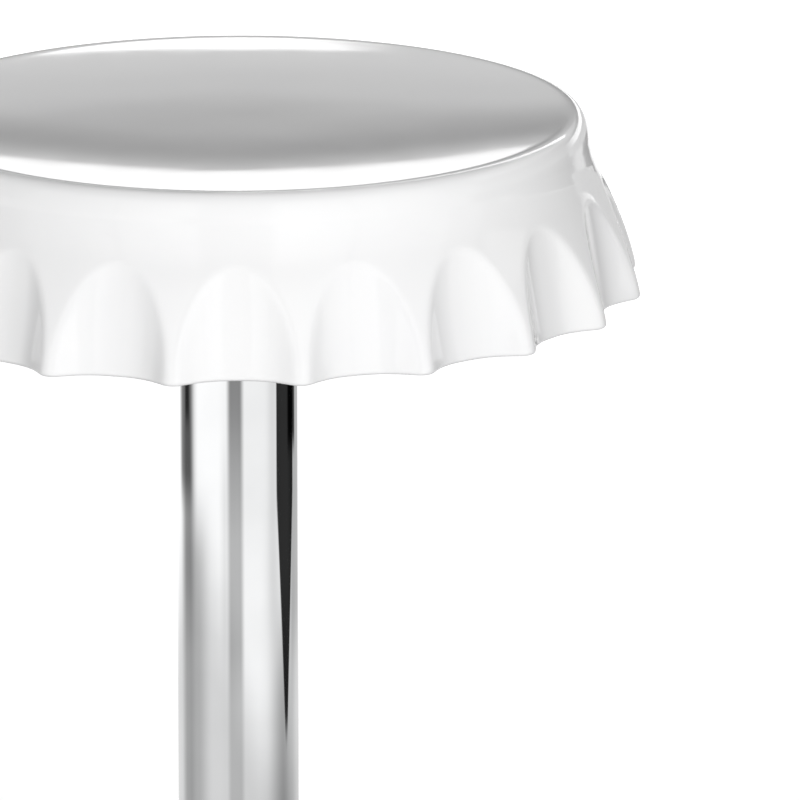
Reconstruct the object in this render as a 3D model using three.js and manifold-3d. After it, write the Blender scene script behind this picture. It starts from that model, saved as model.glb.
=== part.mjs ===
// A counter stool: a fluted bottle-cap seat that turns and rises on a gas lift inside a chromed column,
// with a foot ring and a weighted trumpet base. Millimetres, +Z up, origin on the floor under the column.
import * as THREE from "three";
import { mergeVertices } from "three/addons/utils/BufferGeometryUtils.js";
import Module from "manifold-3d";

const wasm = await Module();
wasm.setup();

// Driving dimensions
const seatHeight = 635; // floor to the seat's rim, at the lowest setting
const seatRadius = 200; // to the tips of the ridges
const columnRadius = 30;
const baseRadius = 210;
const liftStroke = 200;
const footRingHeight = 205; // floor to the middle of the ring's tube

// Clearances, and how finely round things are faceted
const fitGap = 0.3; // between pieces that slide, turn or are fitted together
const overrun = 2; // how far a cut runs past the face it opens
const fineSides = 36;
const plainSides = 20;
const smallSides = 10;
const hexSides = 6;

// Seat shell
const seatDepth = 87.5; // rim to the skirt's lower edge
const toothCount = 20;
const flareOut = 25.5; // shoulder to the ridge tips
const scoopDepth = 12; // ridge tips to the scoops' floors, at the lower edge
const shoulderDepth = 25; // rim to the start of the flare
const scoopTopDepth = 33; // rim to the scoops' rounded tops
const shoulderDraft = 1.5; // how much the shoulder widens on the way down
const rimRoundWidth = 7;
const rimRoundHeight = 14;
const dishDepth = 5;
const shellWall = 3.5;
const bossRadius = 7;
const bossCount = 6;
const flarePowerShare = 1.38; // how quickly the ridges turn outwards
const archHeightShare = 0.85; // of the scoops' height, taken by their rounded tops
const scoopWidthShare = 0.9; // of a tooth, at the lower edge
const scoopPowerShare = 2.5; // how flat the scoops' floors are
const dishPowerShare = 3; // how late the dish turns up to its rim
const toothStepShares = [-0.5, -0.45, -0.2, 0.2, 0.45]; // of one tooth, measured from a scoop's middle
const flareStepShares = [0, 0.12, 0.3, 0.6, 1]; // of the flare's height
const dishStepShares = [0.5, 0.85]; // of the dish's radius
const rimStepShares = [0, 0.33, 0.67, 1]; // of the quarter turn round the rim

// Seat board and its fasteners
const boardMargin = 22; // shoulder's inner wall to the board's edge
const boardThickness = 12;
const screwInset = 10; // board's edge to its screws
const screwRadius = 2;
const screwHeadRadius = 4;
const screwHeadHeight = 2.5;
const screwBite = 2; // into the boss
const teeFlangeRadius = 10;
const teeFlangeThickness = 1.5;
const teeBarrelRadius = 4.6;
const teeBarrelLength = 9;
const plateBoltRadius = 3;
const plateBoltHeadRadius = 5.8;
const plateBoltHeadHeight = 4;

// Swivel plate, mechanism box and taper hub
const plateWidth = 160;
const plateCornerRadius = 18;
const plateThickness = 3;
const plateBoltInset = 18; // plate's edge to its bolts
const boxWidth = 76;
const boxBackReach = 38; // axis to the box's wall, away from the lever
const boxPinToWall = 24; // lever's pin to the box's wall on the lever's side
const boxCornerRadius = 10;
const boxWall = 2.5;
const hubWall = 6;
const hubLength = 34;
const hubRise = 8; // how far the hub stands up inside the box
const hubToCollar = 3; // open gap above the column at the lowest setting

// Release lever and valve
const leverRadius = 4.5;
const leverHeadroom = 6; // between the lever and the plate over it
const leverSetback = 7; // lever's outer end to the shoulder's inner wall
const leverDrop = 30; // how far the lever bends down
const leverBendSetout = 8; // box's wall to the start of the bend
const leverBendLength = 38;
const leverPadWidth = 16;
const leverPadReach = 9; // past the column's axis
const pivotReach = 30; // column's axis to the lever's pin
const pinRadius = 3;
const pinHeadRadius = 5;
const pinHeadThickness = 2;
const eyeWall = 3;
const eyeLength = 26;
const gripRadius = 9;
const gripSetout = 10; // bend to the grip
const gripFlatShare = 0.8; // of the grip's width, its height
const gripEndShare = 0.72; // of the grip's radius, at both ends
const gripTaperShare = 0.18; // of the grip's length, at both ends
const valveTravel = 3;
const valveRadius = 3;
const valveStandout = 5;
const valveCollarRadius = 5;
const valveCollarHeight = 3;

// Gas cylinder and piston
const cylinderRadius = 14;
const cylinderWall = 2;
const cylinderTopWall = 8;
const cylinderTaperLength = 40;
const cylinderTaper = 0.8; // how much the radius narrows over that length
const rodRadius = 5;
const rodStepRadius = 4; // where the piston sits
const rodCollarRadius = 8;
const rodCollarHeight = 3;
const guideLength = 30;
const guideInset = 2;
const pistonLength = 18;
const pistonClearance = 3; // piston to guide at full height
const sealThickness = 3;
const sealDepth = 2;
const nutHeight = 6;
const nutRadius = 7;
const bumperLip = 2; // how far the bumper reaches past the cylinder
const bumperHeight = 21;
const bumperWaistShare = 0.8; // of the bumper's radius

// Sleeve, bearing and retaining clip
const spigotWall = 2.4; // of the socket, between the column and the sleeve
const sleeveWall = 1.75;
const sleeveFloor = 3;
const sleeveTaperLength = 50;
const sleeveTaper = 1;
const raceMargin = 7.25; // sleeve's bore to the bearing
const raceThickness = 2;
const ballRadius = 2;
const ballCount = 8;
const cageThickness = 1.6;
const cageInset = 1.5; // the bearing's edges to its cage
const rodWasherThickness = 2;
const rodWasherRadius = 11;
const clipThickness = 1.5;
const clipRadius = 9;
const clipGrooveDepth = 1;
const clipMouthWidth = 6;
const rodTail = 4; // below the clip

// Column, collar and bushing
const columnWall = 2;
const collarThickness = 5;
const collarSpigot = 3;
const collarEdge = 1.2;
const bushingLength = 100;
const bushingFlange = 3;

// Foot ring
const footRingRadius = 185; // to the middle of its tube
const footTubeRadius = 11;
const spokeRadius = 8;
const spokeCount = 3;
const clampWall = 7;
const clampHeight = 40;
const clampEdge = 1.5;
const clampScrewRadius = 3;

// Base
const floorRingWidth = 34;
const floorRingHeight = 5;
const floorRingLip = 2; // how far the ring stands out past the cover
const floorRingEdge = 1.5;
const coverWall = 1.5;
const coverEdgeRadius = 6;
const coverSlopeDegrees = 7;
const trumpetRadius = 55;
const neckHeight = 6;
const weightThickness = 10;
const weightMargin = 24; // inside the cover's edge
const socketFlangeReach = 16; // past the column
const socketFlangeThickness = 6;
const socketShelf = 4; // the step that the sleeve's foot stands on
const hubBoltRadius = 4;
const hubBoltHeadRadius = 6.5;
const hubBoltHeadHeight = 5;
const hubBoltInset = 8; // flange's edge to its bolts
const hubBoltCount = 4;

// Radii that follow from the sizes above
const shoulderRadius = seatRadius - flareOut;
const crestRadius = shoulderRadius - shoulderDraft - rimRoundWidth;
const shoulderInner = shoulderRadius - shoulderDraft - shellWall;
const boardRadius = shoulderInner - boardMargin;
const cylinderInner = cylinderRadius - cylinderWall;
const hubRadius = cylinderRadius + fitGap + hubWall;
const columnInner = columnRadius - columnWall;
const sleeveRadius = columnInner - spigotWall - 2 * fitGap;
const sleeveInner = sleeveRadius - sleeveWall;
const sleeveFoot = sleeveRadius - sleeveTaper;
const shelfBore = sleeveFoot - socketShelf;
const clampRadius = columnRadius + fitGap + clampWall;
const coverRadius = baseRadius - floorRingLip;
const socketFlangeRadius = columnRadius + socketFlangeReach;
const leverReach = shoulderInner - leverSetback - leverRadius;
const boxLeverReach = pivotReach + boxPinToWall;

// Levels under the seat, from the rim down
const dishZ = seatHeight - dishDepth;
const roofZ = dishZ - shellWall;
const boardTop = roofZ - fitGap;
const boardBottom = boardTop - boardThickness;
const plateBottom = boardBottom - plateThickness;
const leverZ = plateBottom - leverHeadroom - leverRadius;
const valveTop = leverZ - leverRadius - fitGap;
const cylinderTop = valveTop - valveStandout;
const cylinderTaperStart = cylinderTop - cylinderTaperLength;
const hubTop = cylinderTop - fitGap;
const hubBottom = hubTop - hubLength;
const boxBottom = hubTop - hubRise - boxWall;
const collarTop = hubBottom - hubToCollar;
const columnTop = collarTop - collarThickness;
const bushingTop = columnTop - collarSpigot;
const sleeveTop = bushingTop - bushingFlange;

// Levels in the base, from the floor up
const weightTop = floorRingHeight + weightThickness;
const coverEdgeTop = weightTop + fitGap + coverWall;
const socketTop = weightTop + socketFlangeThickness;
const sleeveBottom = socketTop + sleeveTaperLength / 2;
const sleeveTaperTop = sleeveBottom + sleeveTaperLength;
const sleeveFloorTop = sleeveBottom + sleeveFloor;
const ballZ = sleeveFloorTop + raceThickness + ballRadius;
const upperRaceBottom = ballZ + ballRadius;
const rodCollarBottom = upperRaceBottom + raceThickness;
const bumperBottom = rodCollarBottom + rodCollarHeight;
const bumperTop = bumperBottom + bumperHeight;
const cylinderBottom = bumperTop + fitGap;
const guideBottom = cylinderBottom + guideInset;
const guideTop = guideBottom + guideLength;
const pistonBottom = guideTop + liftStroke + pistonClearance;
const pistonTop = pistonBottom + pistonLength;
const rodTop = pistonTop + nutHeight;
const washerTop = sleeveBottom - fitGap;
const clipTop = washerTop - rodWasherThickness;
const clipBottom = clipTop - clipThickness;
const rodBottom = clipBottom - rodTail;

// Materials
const finish = (color, roughness, metalness) => () =>
  new THREE.MeshStandardMaterial({ color, roughness, metalness });
const whitePlastic = finish(0xf4f4f2, 0.12, 0);
const chrome = finish(0xd8dadc, 0.06, 1);
const zincSteel = finish(0xb9bcbf, 0.35, 1);
const blackSteel = finish(0x1c1d1f, 0.5, 0);
const castIron = finish(0x3a3a3c, 0.8, 0);
const blackPlastic = finish(0x17181a, 0.45, 0);
const rubber = finish(0x202022, 0.9, 0);
const plywood = finish(0xc49a64, 0.7, 0);

// The stool's moving assemblies. The lever's group has its origin on the lever's pin.
const stool = new THREE.Group();
const base = new THREE.Group();
const rod = new THREE.Group();
const seat = new THREE.Group();
const lever = new THREE.Group();
lever.position.set(0, pivotReach, leverZ);
seat.add(lever);
stool.add(base, rod, seat);

function addPart(group, name, geometry, material, place = [0, 0]) {
  const mesh = new THREE.Mesh(geometry, material);
  mesh.name = name;
  mesh.position.set(place[0], place[1], 0);
  group.add(mesh);
}

// A closed mesh as a solid that can be cut and joined
function solidOf(geometry) {
  const bare = geometry.clone();
  bare.deleteAttribute("normal");
  bare.deleteAttribute("uv");
  const merged = mergeVertices(bare);
  const corners = merged.index.array;
  const kept = [];
  for (let i = 0; i < corners.length; i += 3) {
    const [a, b, c] = corners.slice(i, i + 3);
    if (a !== b && b !== c && a !== c) kept.push(a, b, c);
  }
  const vertProperties = merged.attributes.position.array;
  return new wasm.Manifold(new wasm.Mesh({ numProp: 3, vertProperties, triVerts: new Uint32Array(kept) }));
}

function geometryOf(solid) {
  const mesh = solid.getMesh();
  const geometry = new THREE.BufferGeometry();
  geometry.setAttribute("position", new THREE.BufferAttribute(mesh.vertProperties, 3));
  geometry.setIndex(new THREE.BufferAttribute(mesh.triVerts, 1));
  geometry.computeVertexNormals();
  return geometry;
}

const cut = (geometry, ...tools) =>
  geometryOf(tools.reduce((solid, tool) => solid.subtract(solidOf(tool)), solidOf(geometry)));
const join = (geometry, ...others) =>
  geometryOf(others.reduce((solid, other) => solid.add(solidOf(other)), solidOf(geometry)));

// A profile of [radius, height] pairs turned round the Z axis
function turned(profile, sides) {
  const points = profile.map(([radius, height]) => new THREE.Vector2(radius, height));
  const onAxis = profile[0][0] === 0 && profile[profile.length - 1][0] === 0;
  if (!onAxis) points.push(points[0].clone());
  const doubleArea = points.reduce((sum, point, i) => {
    const next = points[(i + 1) % points.length];
    return sum + point.x * next.y - next.x * point.y;
  }, 0);
  if (doubleArea < 0) points.reverse();
  return new THREE.LatheGeometry(points, sides).rotateX(Math.PI / 2);
}

const ring = (inner, outer, bottom, top, sides) =>
  turned([[inner, bottom], [outer, bottom], [outer, top], [inner, top]], sides);
const disc = (radius, bottom, top, sides) =>
  turned([[0, bottom], [radius, bottom], [radius, top], [0, top]], sides);
const drill = (radius, bottom, top) => disc(radius, bottom - overrun, top + overrun, smallSides);
const barAlongX = (radius, from, to, sides) => disc(radius, from, to, sides).rotateY(Math.PI / 2);
const turnedAlongY = (profile, sides) => turned(profile, sides).rotateX(-Math.PI / 2);

// A rectangle with rounded corners, pulled up along Z
function slab(width, backReach, frontReach, cornerRadius, bottom, top) {
  const inset = width / 2 - cornerRadius;
  const corners = [
    [inset, frontReach - cornerRadius],
    [-inset, frontReach - cornerRadius],
    [-inset, cornerRadius - backReach],
    [inset, cornerRadius - backReach],
  ];
  const shape = new THREE.Shape();
  corners.forEach(([x, y], i) => {
    const start = (i * Math.PI) / 2;
    shape.absarc(x, y, cornerRadius, start, start + Math.PI / 2);
  });
  const settings = { depth: top - bottom, bevelEnabled: false, curveSegments: 2 };
  return new THREE.ExtrudeGeometry(shape, settings).translate(0, 0, bottom);
}

const onCircle = (radius, turn) => [radius * Math.cos(turn), radius * Math.sin(turn)];
const turnsOf = (count, start) => Array.from({ length: count }, (_, i) => start + (i * 2 * Math.PI) / count);
const placesOnCircle = (radius, turns) => turns.map((turn) => onCircle(radius, turn));

// The seat's outer surface. drop is measured down from the rim, turn is the angle round the axis.
const dishDrop = (radius) => dishDepth * (1 - Math.pow(radius / crestRadius, dishPowerShare));
const flareHeight = seatDepth - shoulderDepth;

function ridgeRadius(drop) {
  const down = (drop - shoulderDepth) / flareHeight;
  return shoulderRadius + flareOut * (1 - Math.pow(1 - down, flarePowerShare));
}

function skirtRadius(turn, drop) {
  const ridge = ridgeRadius(drop);
  const down = (drop - scoopTopDepth) / (seatDepth - scoopTopDepth);
  if (down <= 0) return ridge;
  const scoopTopRadius = ridgeRadius(scoopTopDepth);
  const floor = scoopTopRadius + (seatRadius - scoopDepth - scoopTopRadius) * down;
  const archDown = Math.min(down / archHeightShare, 1);
  const archWidth = scoopWidthShare * Math.sqrt(1 - (1 - archDown) * (1 - archDown));
  const tooth = (turn * toothCount) / (2 * Math.PI);
  const across = 2 * Math.abs(tooth - Math.round(tooth));
  if (across >= archWidth) return ridge;
  const hollow = 1 - Math.pow(across / archWidth, scoopPowerShare);
  return ridge - (ridge - floor) * hollow;
}

// Rings of points, from the middle of the top to the middle of the roof, as [radius at a turn, drop]
function shellRings() {
  const round = (radius) => () => radius;
  const dish = dishStepShares.map((share) => share * crestRadius);
  const rim = rimStepShares.map((share) => (share * Math.PI) / 2);
  const skirt = flareStepShares.map((share) => shoulderDepth + share * flareHeight);
  return [
    ...dish.map((radius) => [round(radius), dishDrop(radius)]),
    ...rim.map((angle) => [
      round(crestRadius + rimRoundWidth * Math.sin(angle)),
      rimRoundHeight * (1 - Math.cos(angle)),
    ]),
    ...skirt.map((drop) => [(turn) => skirtRadius(turn, drop), drop]),
    ...skirt.map((drop) => [(turn) => skirtRadius(turn, drop) - shellWall, drop]).reverse(),
    [round(shoulderInner), shellWall + rimRoundHeight],
    [round(crestRadius), shellWall + rimRoundHeight / 3],
    ...dish.map((radius) => [round(radius), shellWall + dishDrop(radius)]).reverse(),
  ];
}

function shellGeometry() {
  const turns = [];
  for (let tooth = 0; tooth < toothCount; tooth++) {
    for (const share of toothStepShares) turns.push(((tooth + share) * 2 * Math.PI) / toothCount);
  }
  const rings = shellRings();
  const positions = [0, 0, dishZ];
  for (const [radiusAt, drop] of rings) {
    for (const turn of turns) positions.push(...onCircle(radiusAt(turn), turn), seatHeight - drop);
  }
  positions.push(0, 0, roofZ);
  const sides = turns.length;
  const last = 1 + rings.length * sides;
  const corner = (ringIndex, side) => 1 + ringIndex * sides + (side % sides);
  const index = [];
  for (let side = 0; side < sides; side++) {
    index.push(0, corner(0, side), corner(0, side + 1));
    for (let i = 0; i + 1 < rings.length; i++) {
      const [a, b] = [corner(i, side), corner(i, side + 1)];
      const [c, d] = [corner(i + 1, side), corner(i + 1, side + 1)];
      index.push(a, c, d, a, d, b);
    }
    index.push(last, corner(rings.length - 1, side + 1), corner(rings.length - 1, side));
  }
  const geometry = new THREE.BufferGeometry();
  geometry.setAttribute("position", new THREE.BufferAttribute(new Float32Array(positions), 3));
  geometry.setIndex(index);
  return geometry;
}

const screwCircleRadius = boardRadius - screwInset;
const screwPlaces = placesOnCircle(screwCircleRadius, turnsOf(bossCount, Math.PI / bossCount));

function makeSeatShell() {
  const bossTop = seatHeight - dishDrop(screwCircleRadius) - shellWall / 2;
  const pilotTop = boardTop + screwBite + fitGap;
  const bosses = screwPlaces.map(([x, y]) =>
    disc(bossRadius, boardTop, bossTop, smallSides).translate(x, y, 0));
  const pilots = screwPlaces.map(([x, y]) =>
    disc(screwRadius + fitGap, boardTop - overrun, pilotTop, smallSides).translate(x, y, 0));
  addPart(seat, "seat_shell", cut(join(shellGeometry(), ...bosses), ...pilots), whitePlastic());
}

// Bolts that hold the swivel plate, one in each of its corners
const plateBoltReach = plateWidth / 2 - plateBoltInset;
const plateBoltPlaces = [1, -1].flatMap((x) => [1, -1].map((y) => [x * plateBoltReach, y * plateBoltReach]));

function makeSeatBoard() {
  const flangeSeat = boardTop - teeFlangeThickness - fitGap;
  const holes = plateBoltPlaces.flatMap(([x, y]) => [
    drill(teeBarrelRadius + fitGap, boardBottom, boardTop).translate(x, y, 0),
    disc(teeFlangeRadius + fitGap, flangeSeat, boardTop + overrun, smallSides).translate(x, y, 0),
  ]);
  for (const [x, y] of screwPlaces) {
    holes.push(drill(screwRadius + fitGap, boardBottom, boardTop).translate(x, y, 0));
  }
  addPart(seat, "seat_board", cut(disc(boardRadius, boardBottom, boardTop, fineSides), ...holes), plywood());
}

function makeBoardScrews() {
  const headBottom = boardBottom - screwHeadHeight;
  const profile = [
    [0, headBottom],
    [screwHeadRadius - screwRadius / 2, headBottom],
    [screwHeadRadius, boardBottom],
    [screwRadius, boardBottom],
    [screwRadius, boardTop + screwBite],
    [0, boardTop + screwBite],
  ];
  screwPlaces.forEach((place, i) =>
    addPart(seat, "board_screw_" + (i + 1), turned(profile, smallSides), zincSteel(), place));
}

function makeTeeNuts() {
  const flangeTop = boardTop - fitGap;
  const profile = [
    [plateBoltRadius + fitGap, flangeTop - teeBarrelLength],
    [teeBarrelRadius, flangeTop - teeBarrelLength],
    [teeBarrelRadius, flangeTop - teeFlangeThickness],
    [teeFlangeRadius, flangeTop - teeFlangeThickness],
    [teeFlangeRadius, flangeTop],
    [plateBoltRadius + fitGap, flangeTop],
  ];
  plateBoltPlaces.forEach((place, i) =>
    addPart(seat, "tee_nut_" + (i + 1), turned(profile, smallSides), zincSteel(), place));
}

// A hexagon head with a round shank going up from it
function hexBolt(headRadius, headBottom, headTop, shankRadius, shankTop) {
  const head = disc(headRadius, headBottom, headTop, hexSides);
  return join(head, disc(shankRadius, (headBottom + headTop) / 2, shankTop, smallSides));
}

function makePlateBolts() {
  const headBottom = plateBottom - plateBoltHeadHeight;
  const shankTop = boardTop - fitGap - teeFlangeThickness / 2;
  plateBoltPlaces.forEach((place, i) => {
    const bolt = hexBolt(plateBoltHeadRadius, headBottom, plateBottom, plateBoltRadius, shankTop);
    addPart(seat, "plate_bolt_" + (i + 1), bolt, zincSteel(), place);
  });
}

function makeSwivelPlate() {
  const half = plateWidth / 2;
  const plate = slab(plateWidth, half, half, plateCornerRadius, plateBottom, boardBottom);
  const holes = plateBoltPlaces.map(([x, y]) =>
    drill(plateBoltRadius + fitGap, plateBottom, boardBottom).translate(x, y, 0));
  addPart(seat, "swivel_plate", cut(plate, ...holes), blackSteel());
}

// The pressed box under the plate, open at the top, with a slot for the lever and holes for its pin
function makeMechanismBox() {
  const outside = slab(boxWidth, boxBackReach, boxLeverReach, boxCornerRadius, boxBottom, plateBottom);
  const inside = slab(
    boxWidth - 2 * boxWall,
    boxBackReach - boxWall,
    boxLeverReach - boxWall,
    boxCornerRadius - boxWall,
    boxBottom + boxWall,
    plateBottom + overrun,
  );
  const slotTop = plateBottom - boxWall;
  const slotBottom = leverZ - leverRadius - valveTravel;
  const slotWidth = 2 * (leverRadius + 2 * fitGap);
  const slot = new THREE.BoxGeometry(slotWidth, 2 * (boxWall + overrun), slotTop - slotBottom);
  slot.translate(0, boxLeverReach, (slotTop + slotBottom) / 2);
  const pinHole = barAlongX(pinRadius + fitGap, -boxWidth, boxWidth, smallSides);
  pinHole.translate(0, pivotReach, leverZ);
  const hubHole = disc(hubRadius + fitGap, boxBottom - overrun, boxBottom + boxWall + overrun, plainSides);
  addPart(seat, "mechanism_box", cut(outside, inside, slot, pinHole, hubHole), blackSteel());
}

// The cylinder's outside, which narrows over its tapered top
function cylinderRadiusAt(z) {
  const intoTaper = Math.max(0, z - cylinderTaperStart);
  return cylinderRadius - (cylinderTaper * intoTaper) / cylinderTaperLength;
}

function makeTaperHub() {
  const profile = [
    [cylinderRadiusAt(hubBottom) + fitGap, hubBottom],
    [hubRadius, hubBottom],
    [hubRadius, hubTop],
    [cylinderRadiusAt(hubTop) + fitGap, hubTop],
  ];
  addPart(seat, "taper_hub", turned(profile, plainSides), blackSteel());
}

function makeGasCylinder() {
  const cavityTop = cylinderTop - cylinderTopWall;
  const profile = [
    [cylinderInner, cylinderBottom],
    [cylinderRadius, cylinderBottom],
    [cylinderRadius, cylinderTaperStart],
    [cylinderRadiusAt(cylinderTop), cylinderTop],
    [valveRadius + fitGap, cylinderTop],
    [valveRadius + fitGap, cavityTop],
    [cylinderInner - cylinderTaper, cavityTop],
    [cylinderInner - cylinderTaper, cylinderTaperStart],
    [cylinderInner, cylinderTaperStart],
  ];
  addPart(seat, "gas_cylinder", turned(profile, plainSides), chrome());
}

function makeRodGuide() {
  const guide = ring(rodRadius + fitGap, cylinderInner - fitGap, guideBottom, guideTop, plainSides);
  addPart(seat, "rod_guide", guide, blackPlastic());
}

function makeValvePin() {
  const collarBottom = cylinderTop - cylinderTopWall - fitGap - valveCollarHeight;
  const profile = [
    [0, collarBottom],
    [valveCollarRadius, collarBottom],
    [valveCollarRadius, collarBottom + valveCollarHeight],
    [valveRadius, collarBottom + valveCollarHeight],
    [valveRadius, valveTop - valveRadius / 3],
    [valveRadius - valveRadius / 3, valveTop],
    [0, valveTop],
  ];
  addPart(seat, "valve_pin", turned(profile, smallSides), zincSteel());
}

// The lever, measured from its pin: a pad over the valve, an eye for the pin, and a bar that leaves
// the box through its slot and bends down behind the skirt
const leverOuterEnd = leverReach - pivotReach;
const bendStart = boxPinToWall + leverBendSetout;
const bendEnd = bendStart + leverBendLength;

function leverBar() {
  const at = (y, z) => new THREE.Vector3(0, y, z);
  const pull = leverBendLength / 2;
  const path = new THREE.CurvePath();
  path.add(new THREE.LineCurve3(at(-pivotReach, 0), at(bendStart, 0)));
  path.add(new THREE.CubicBezierCurve3(
    at(bendStart, 0),
    at(bendStart + pull, 0),
    at(bendEnd - pull, -leverDrop),
    at(bendEnd, -leverDrop),
  ));
  path.add(new THREE.LineCurve3(at(bendEnd, -leverDrop), at(leverOuterEnd, -leverDrop)));
  const section = new THREE.Shape().absarc(0, 0, leverRadius, 0, 2 * Math.PI);
  return new THREE.ExtrudeGeometry(section, { steps: 14, curveSegments: 5, extrudePath: path });
}

function makeLeverArm() {
  const padLength = leverPadReach + pivotReach / 2;
  const pad = new THREE.BoxGeometry(leverPadWidth, padLength, 2 * leverRadius);
  pad.translate(0, padLength / 2 - leverPadReach - pivotReach, 0);
  const eye = barAlongX(pinRadius + fitGap + eyeWall, -eyeLength / 2, eyeLength / 2, smallSides);
  const bore = barAlongX(pinRadius + fitGap, -eyeLength, eyeLength, smallSides);
  addPart(lever, "lever_arm", cut(join(leverBar(), pad, eye), bore), zincSteel());
}

function makeLeverGrip() {
  const gripStart = bendEnd + gripSetout;
  const gripEnd = leverOuterEnd + leverRadius;
  const taper = gripTaperShare * (gripEnd - gripStart);
  const endRadius = gripEndShare * gripRadius;
  const profile = [
    [0, leverOuterEnd + fitGap],
    [leverRadius + fitGap, leverOuterEnd + fitGap],
    [leverRadius + fitGap, gripStart],
    [endRadius, gripStart],
    [gripRadius, gripStart + taper],
    [gripRadius, gripEnd - taper],
    [endRadius, gripEnd],
    [0, gripEnd],
  ];
  const grip = turnedAlongY(profile, smallSides).scale(1 / gripFlatShare, 1, 1).translate(0, 0, -leverDrop);
  addPart(lever, "lever_grip", grip, blackPlastic());
}

function makeLeverPin() {
  const reach = boxWidth / 2 + fitGap;
  const shank = barAlongX(pinRadius, -reach, reach + 2 * pinHeadThickness, smallSides);
  const head = barAlongX(pinHeadRadius, -reach - pinHeadThickness, -reach, smallSides);
  const pin = join(shank, head).translate(0, pivotReach, leverZ);
  addPart(seat, "lever_pin", pin, zincSteel());
  const clip = ring(pinRadius + fitGap, pinHeadRadius, reach, reach + pinHeadThickness, smallSides);
  addPart(seat, "lever_pin_clip", clip.rotateY(Math.PI / 2).translate(0, pivotReach, leverZ), zincSteel());
}

function makePistonRod() {
  const grooveRadius = rodRadius - clipGrooveDepth;
  const profile = [
    [0, rodBottom],
    [grooveRadius, rodBottom],
    [rodRadius, rodBottom + clipGrooveDepth],
    [rodRadius, clipBottom],
    [grooveRadius, clipBottom],
    [grooveRadius, clipTop],
    [rodRadius, clipTop],
    [rodRadius, rodCollarBottom],
    [rodCollarRadius, rodCollarBottom],
    [rodCollarRadius, bumperBottom],
    [rodRadius, bumperBottom],
    [rodRadius, pistonBottom],
    [rodStepRadius, pistonBottom],
    [rodStepRadius, rodTop],
    [0, rodTop],
  ];
  addPart(rod, "piston_rod", turned(profile, smallSides), zincSteel());
}

function makePiston() {
  const bore = rodStepRadius + fitGap;
  const pistonRadius = cylinderInner - 2 * fitGap;
  const grooveRadius = pistonRadius - sealDepth;
  const sealBottom = (pistonBottom + pistonTop - sealThickness) / 2;
  const sealTop = sealBottom + sealThickness;
  const profile = [
    [bore, pistonBottom],
    [pistonRadius, pistonBottom],
    [pistonRadius, sealBottom - fitGap],
    [grooveRadius, sealBottom - fitGap],
    [grooveRadius, sealTop + fitGap],
    [pistonRadius, sealTop + fitGap],
    [pistonRadius, pistonTop],
    [bore, pistonTop],
  ];
  addPart(rod, "piston_head", turned(profile, plainSides), zincSteel());
  const seal = ring(grooveRadius + fitGap, cylinderInner - fitGap, sealBottom, sealTop, plainSides);
  addPart(rod, "piston_seal", seal, rubber());
  const nut = cut(disc(nutRadius, pistonTop, rodTop, hexSides), drill(bore, pistonTop, rodTop));
  addPart(rod, "piston_nut", nut, zincSteel());
}

function makeRodBumper() {
  const bore = rodRadius + fitGap;
  const outer = cylinderRadius + bumperLip;
  const profile = [
    [bore, bumperBottom],
    [outer, bumperBottom],
    [bumperWaistShare * outer, (bumperBottom + bumperTop) / 2],
    [outer, bumperTop],
    [bore, bumperTop],
  ];
  addPart(rod, "rod_bumper", turned(profile, plainSides), rubber());
}

// The bearing under the rod's collar, whose cage turns at half the rod's speed
function makeThrustBearing() {
  const bore = rodRadius + fitGap;
  const raceRadius = sleeveInner - raceMargin;
  const lowerRace = ring(bore, raceRadius, sleeveFloorTop, sleeveFloorTop + raceThickness, plainSides);
  addPart(base, "bearing_lower_race", lowerRace, zincSteel());
  const upperRace = ring(bore, raceRadius, upperRaceBottom, rodCollarBottom, plainSides);
  addPart(rod, "bearing_upper_race", upperRace, zincSteel());

  const ballCircle = (bore + raceRadius) / 2;
  const [cageBottom, cageTop] = [ballZ - cageThickness / 2, ballZ + cageThickness / 2];
  const cage = ring(bore + cageInset, raceRadius - cageInset, cageBottom, cageTop, plainSides);
  const ball = new THREE.SphereGeometry(ballRadius - fitGap / 2, 6, 4).rotateX(Math.PI / 2);
  const balls = placesOnCircle(ballCircle, turnsOf(ballCount, 0)).map(([x, y]) =>
    ball.clone().translate(x, y, ballZ));
  addPart(base, "bearing_ball_cage", join(cage, ...balls), zincSteel());
}

// The washer and the open clip that keep the rod from lifting out of the sleeve's floor
function makeRodRetainer() {
  const washer = ring(rodRadius + fitGap, rodWasherRadius, clipTop, washerTop, smallSides);
  addPart(rod, "rod_washer", washer, zincSteel());
  const bore = rodRadius - clipGrooveDepth + fitGap;
  const clip = ring(bore, clipRadius, clipBottom + fitGap / 2, clipTop - fitGap / 2, plainSides);
  const mouth = new THREE.BoxGeometry(2 * clipRadius, clipMouthWidth, clipThickness + overrun);
  mouth.translate(clipRadius, 0, (clipTop + clipBottom) / 2);
  addPart(rod, "rod_clip", cut(clip, mouth), zincSteel());
}

// The lift's fixed sleeve, whose floor carries the bearing
function makeLiftSleeve() {
  const rodHole = rodRadius + 2 * fitGap;
  const profile = [
    [rodHole, sleeveBottom],
    [sleeveFoot, sleeveBottom],
    [sleeveRadius, sleeveTaperTop],
    [sleeveRadius, sleeveTop],
    [sleeveInner, sleeveTop],
    [sleeveInner, sleeveTaperTop],
    [sleeveFoot - sleeveWall, sleeveFloorTop],
    [rodHole, sleeveFloorTop],
  ];
  addPart(base, "lift_sleeve", turned(profile, plainSides), zincSteel());
}

function makeGuideBushing() {
  const bore = cylinderRadius + fitGap;
  const profile = [
    [bore, sleeveTop - bushingLength],
    [sleeveInner - fitGap, sleeveTop - bushingLength],
    [sleeveInner - fitGap, sleeveTop],
    [sleeveRadius, sleeveTop],
    [sleeveRadius, bushingTop - fitGap],
    [bore, bushingTop - fitGap],
  ];
  addPart(base, "guide_bushing", turned(profile, plainSides), blackPlastic());
}

function makeColumnTube() {
  addPart(base, "column_tube", ring(columnInner, columnRadius, socketTop, columnTop, fineSides), chrome());
}

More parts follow.
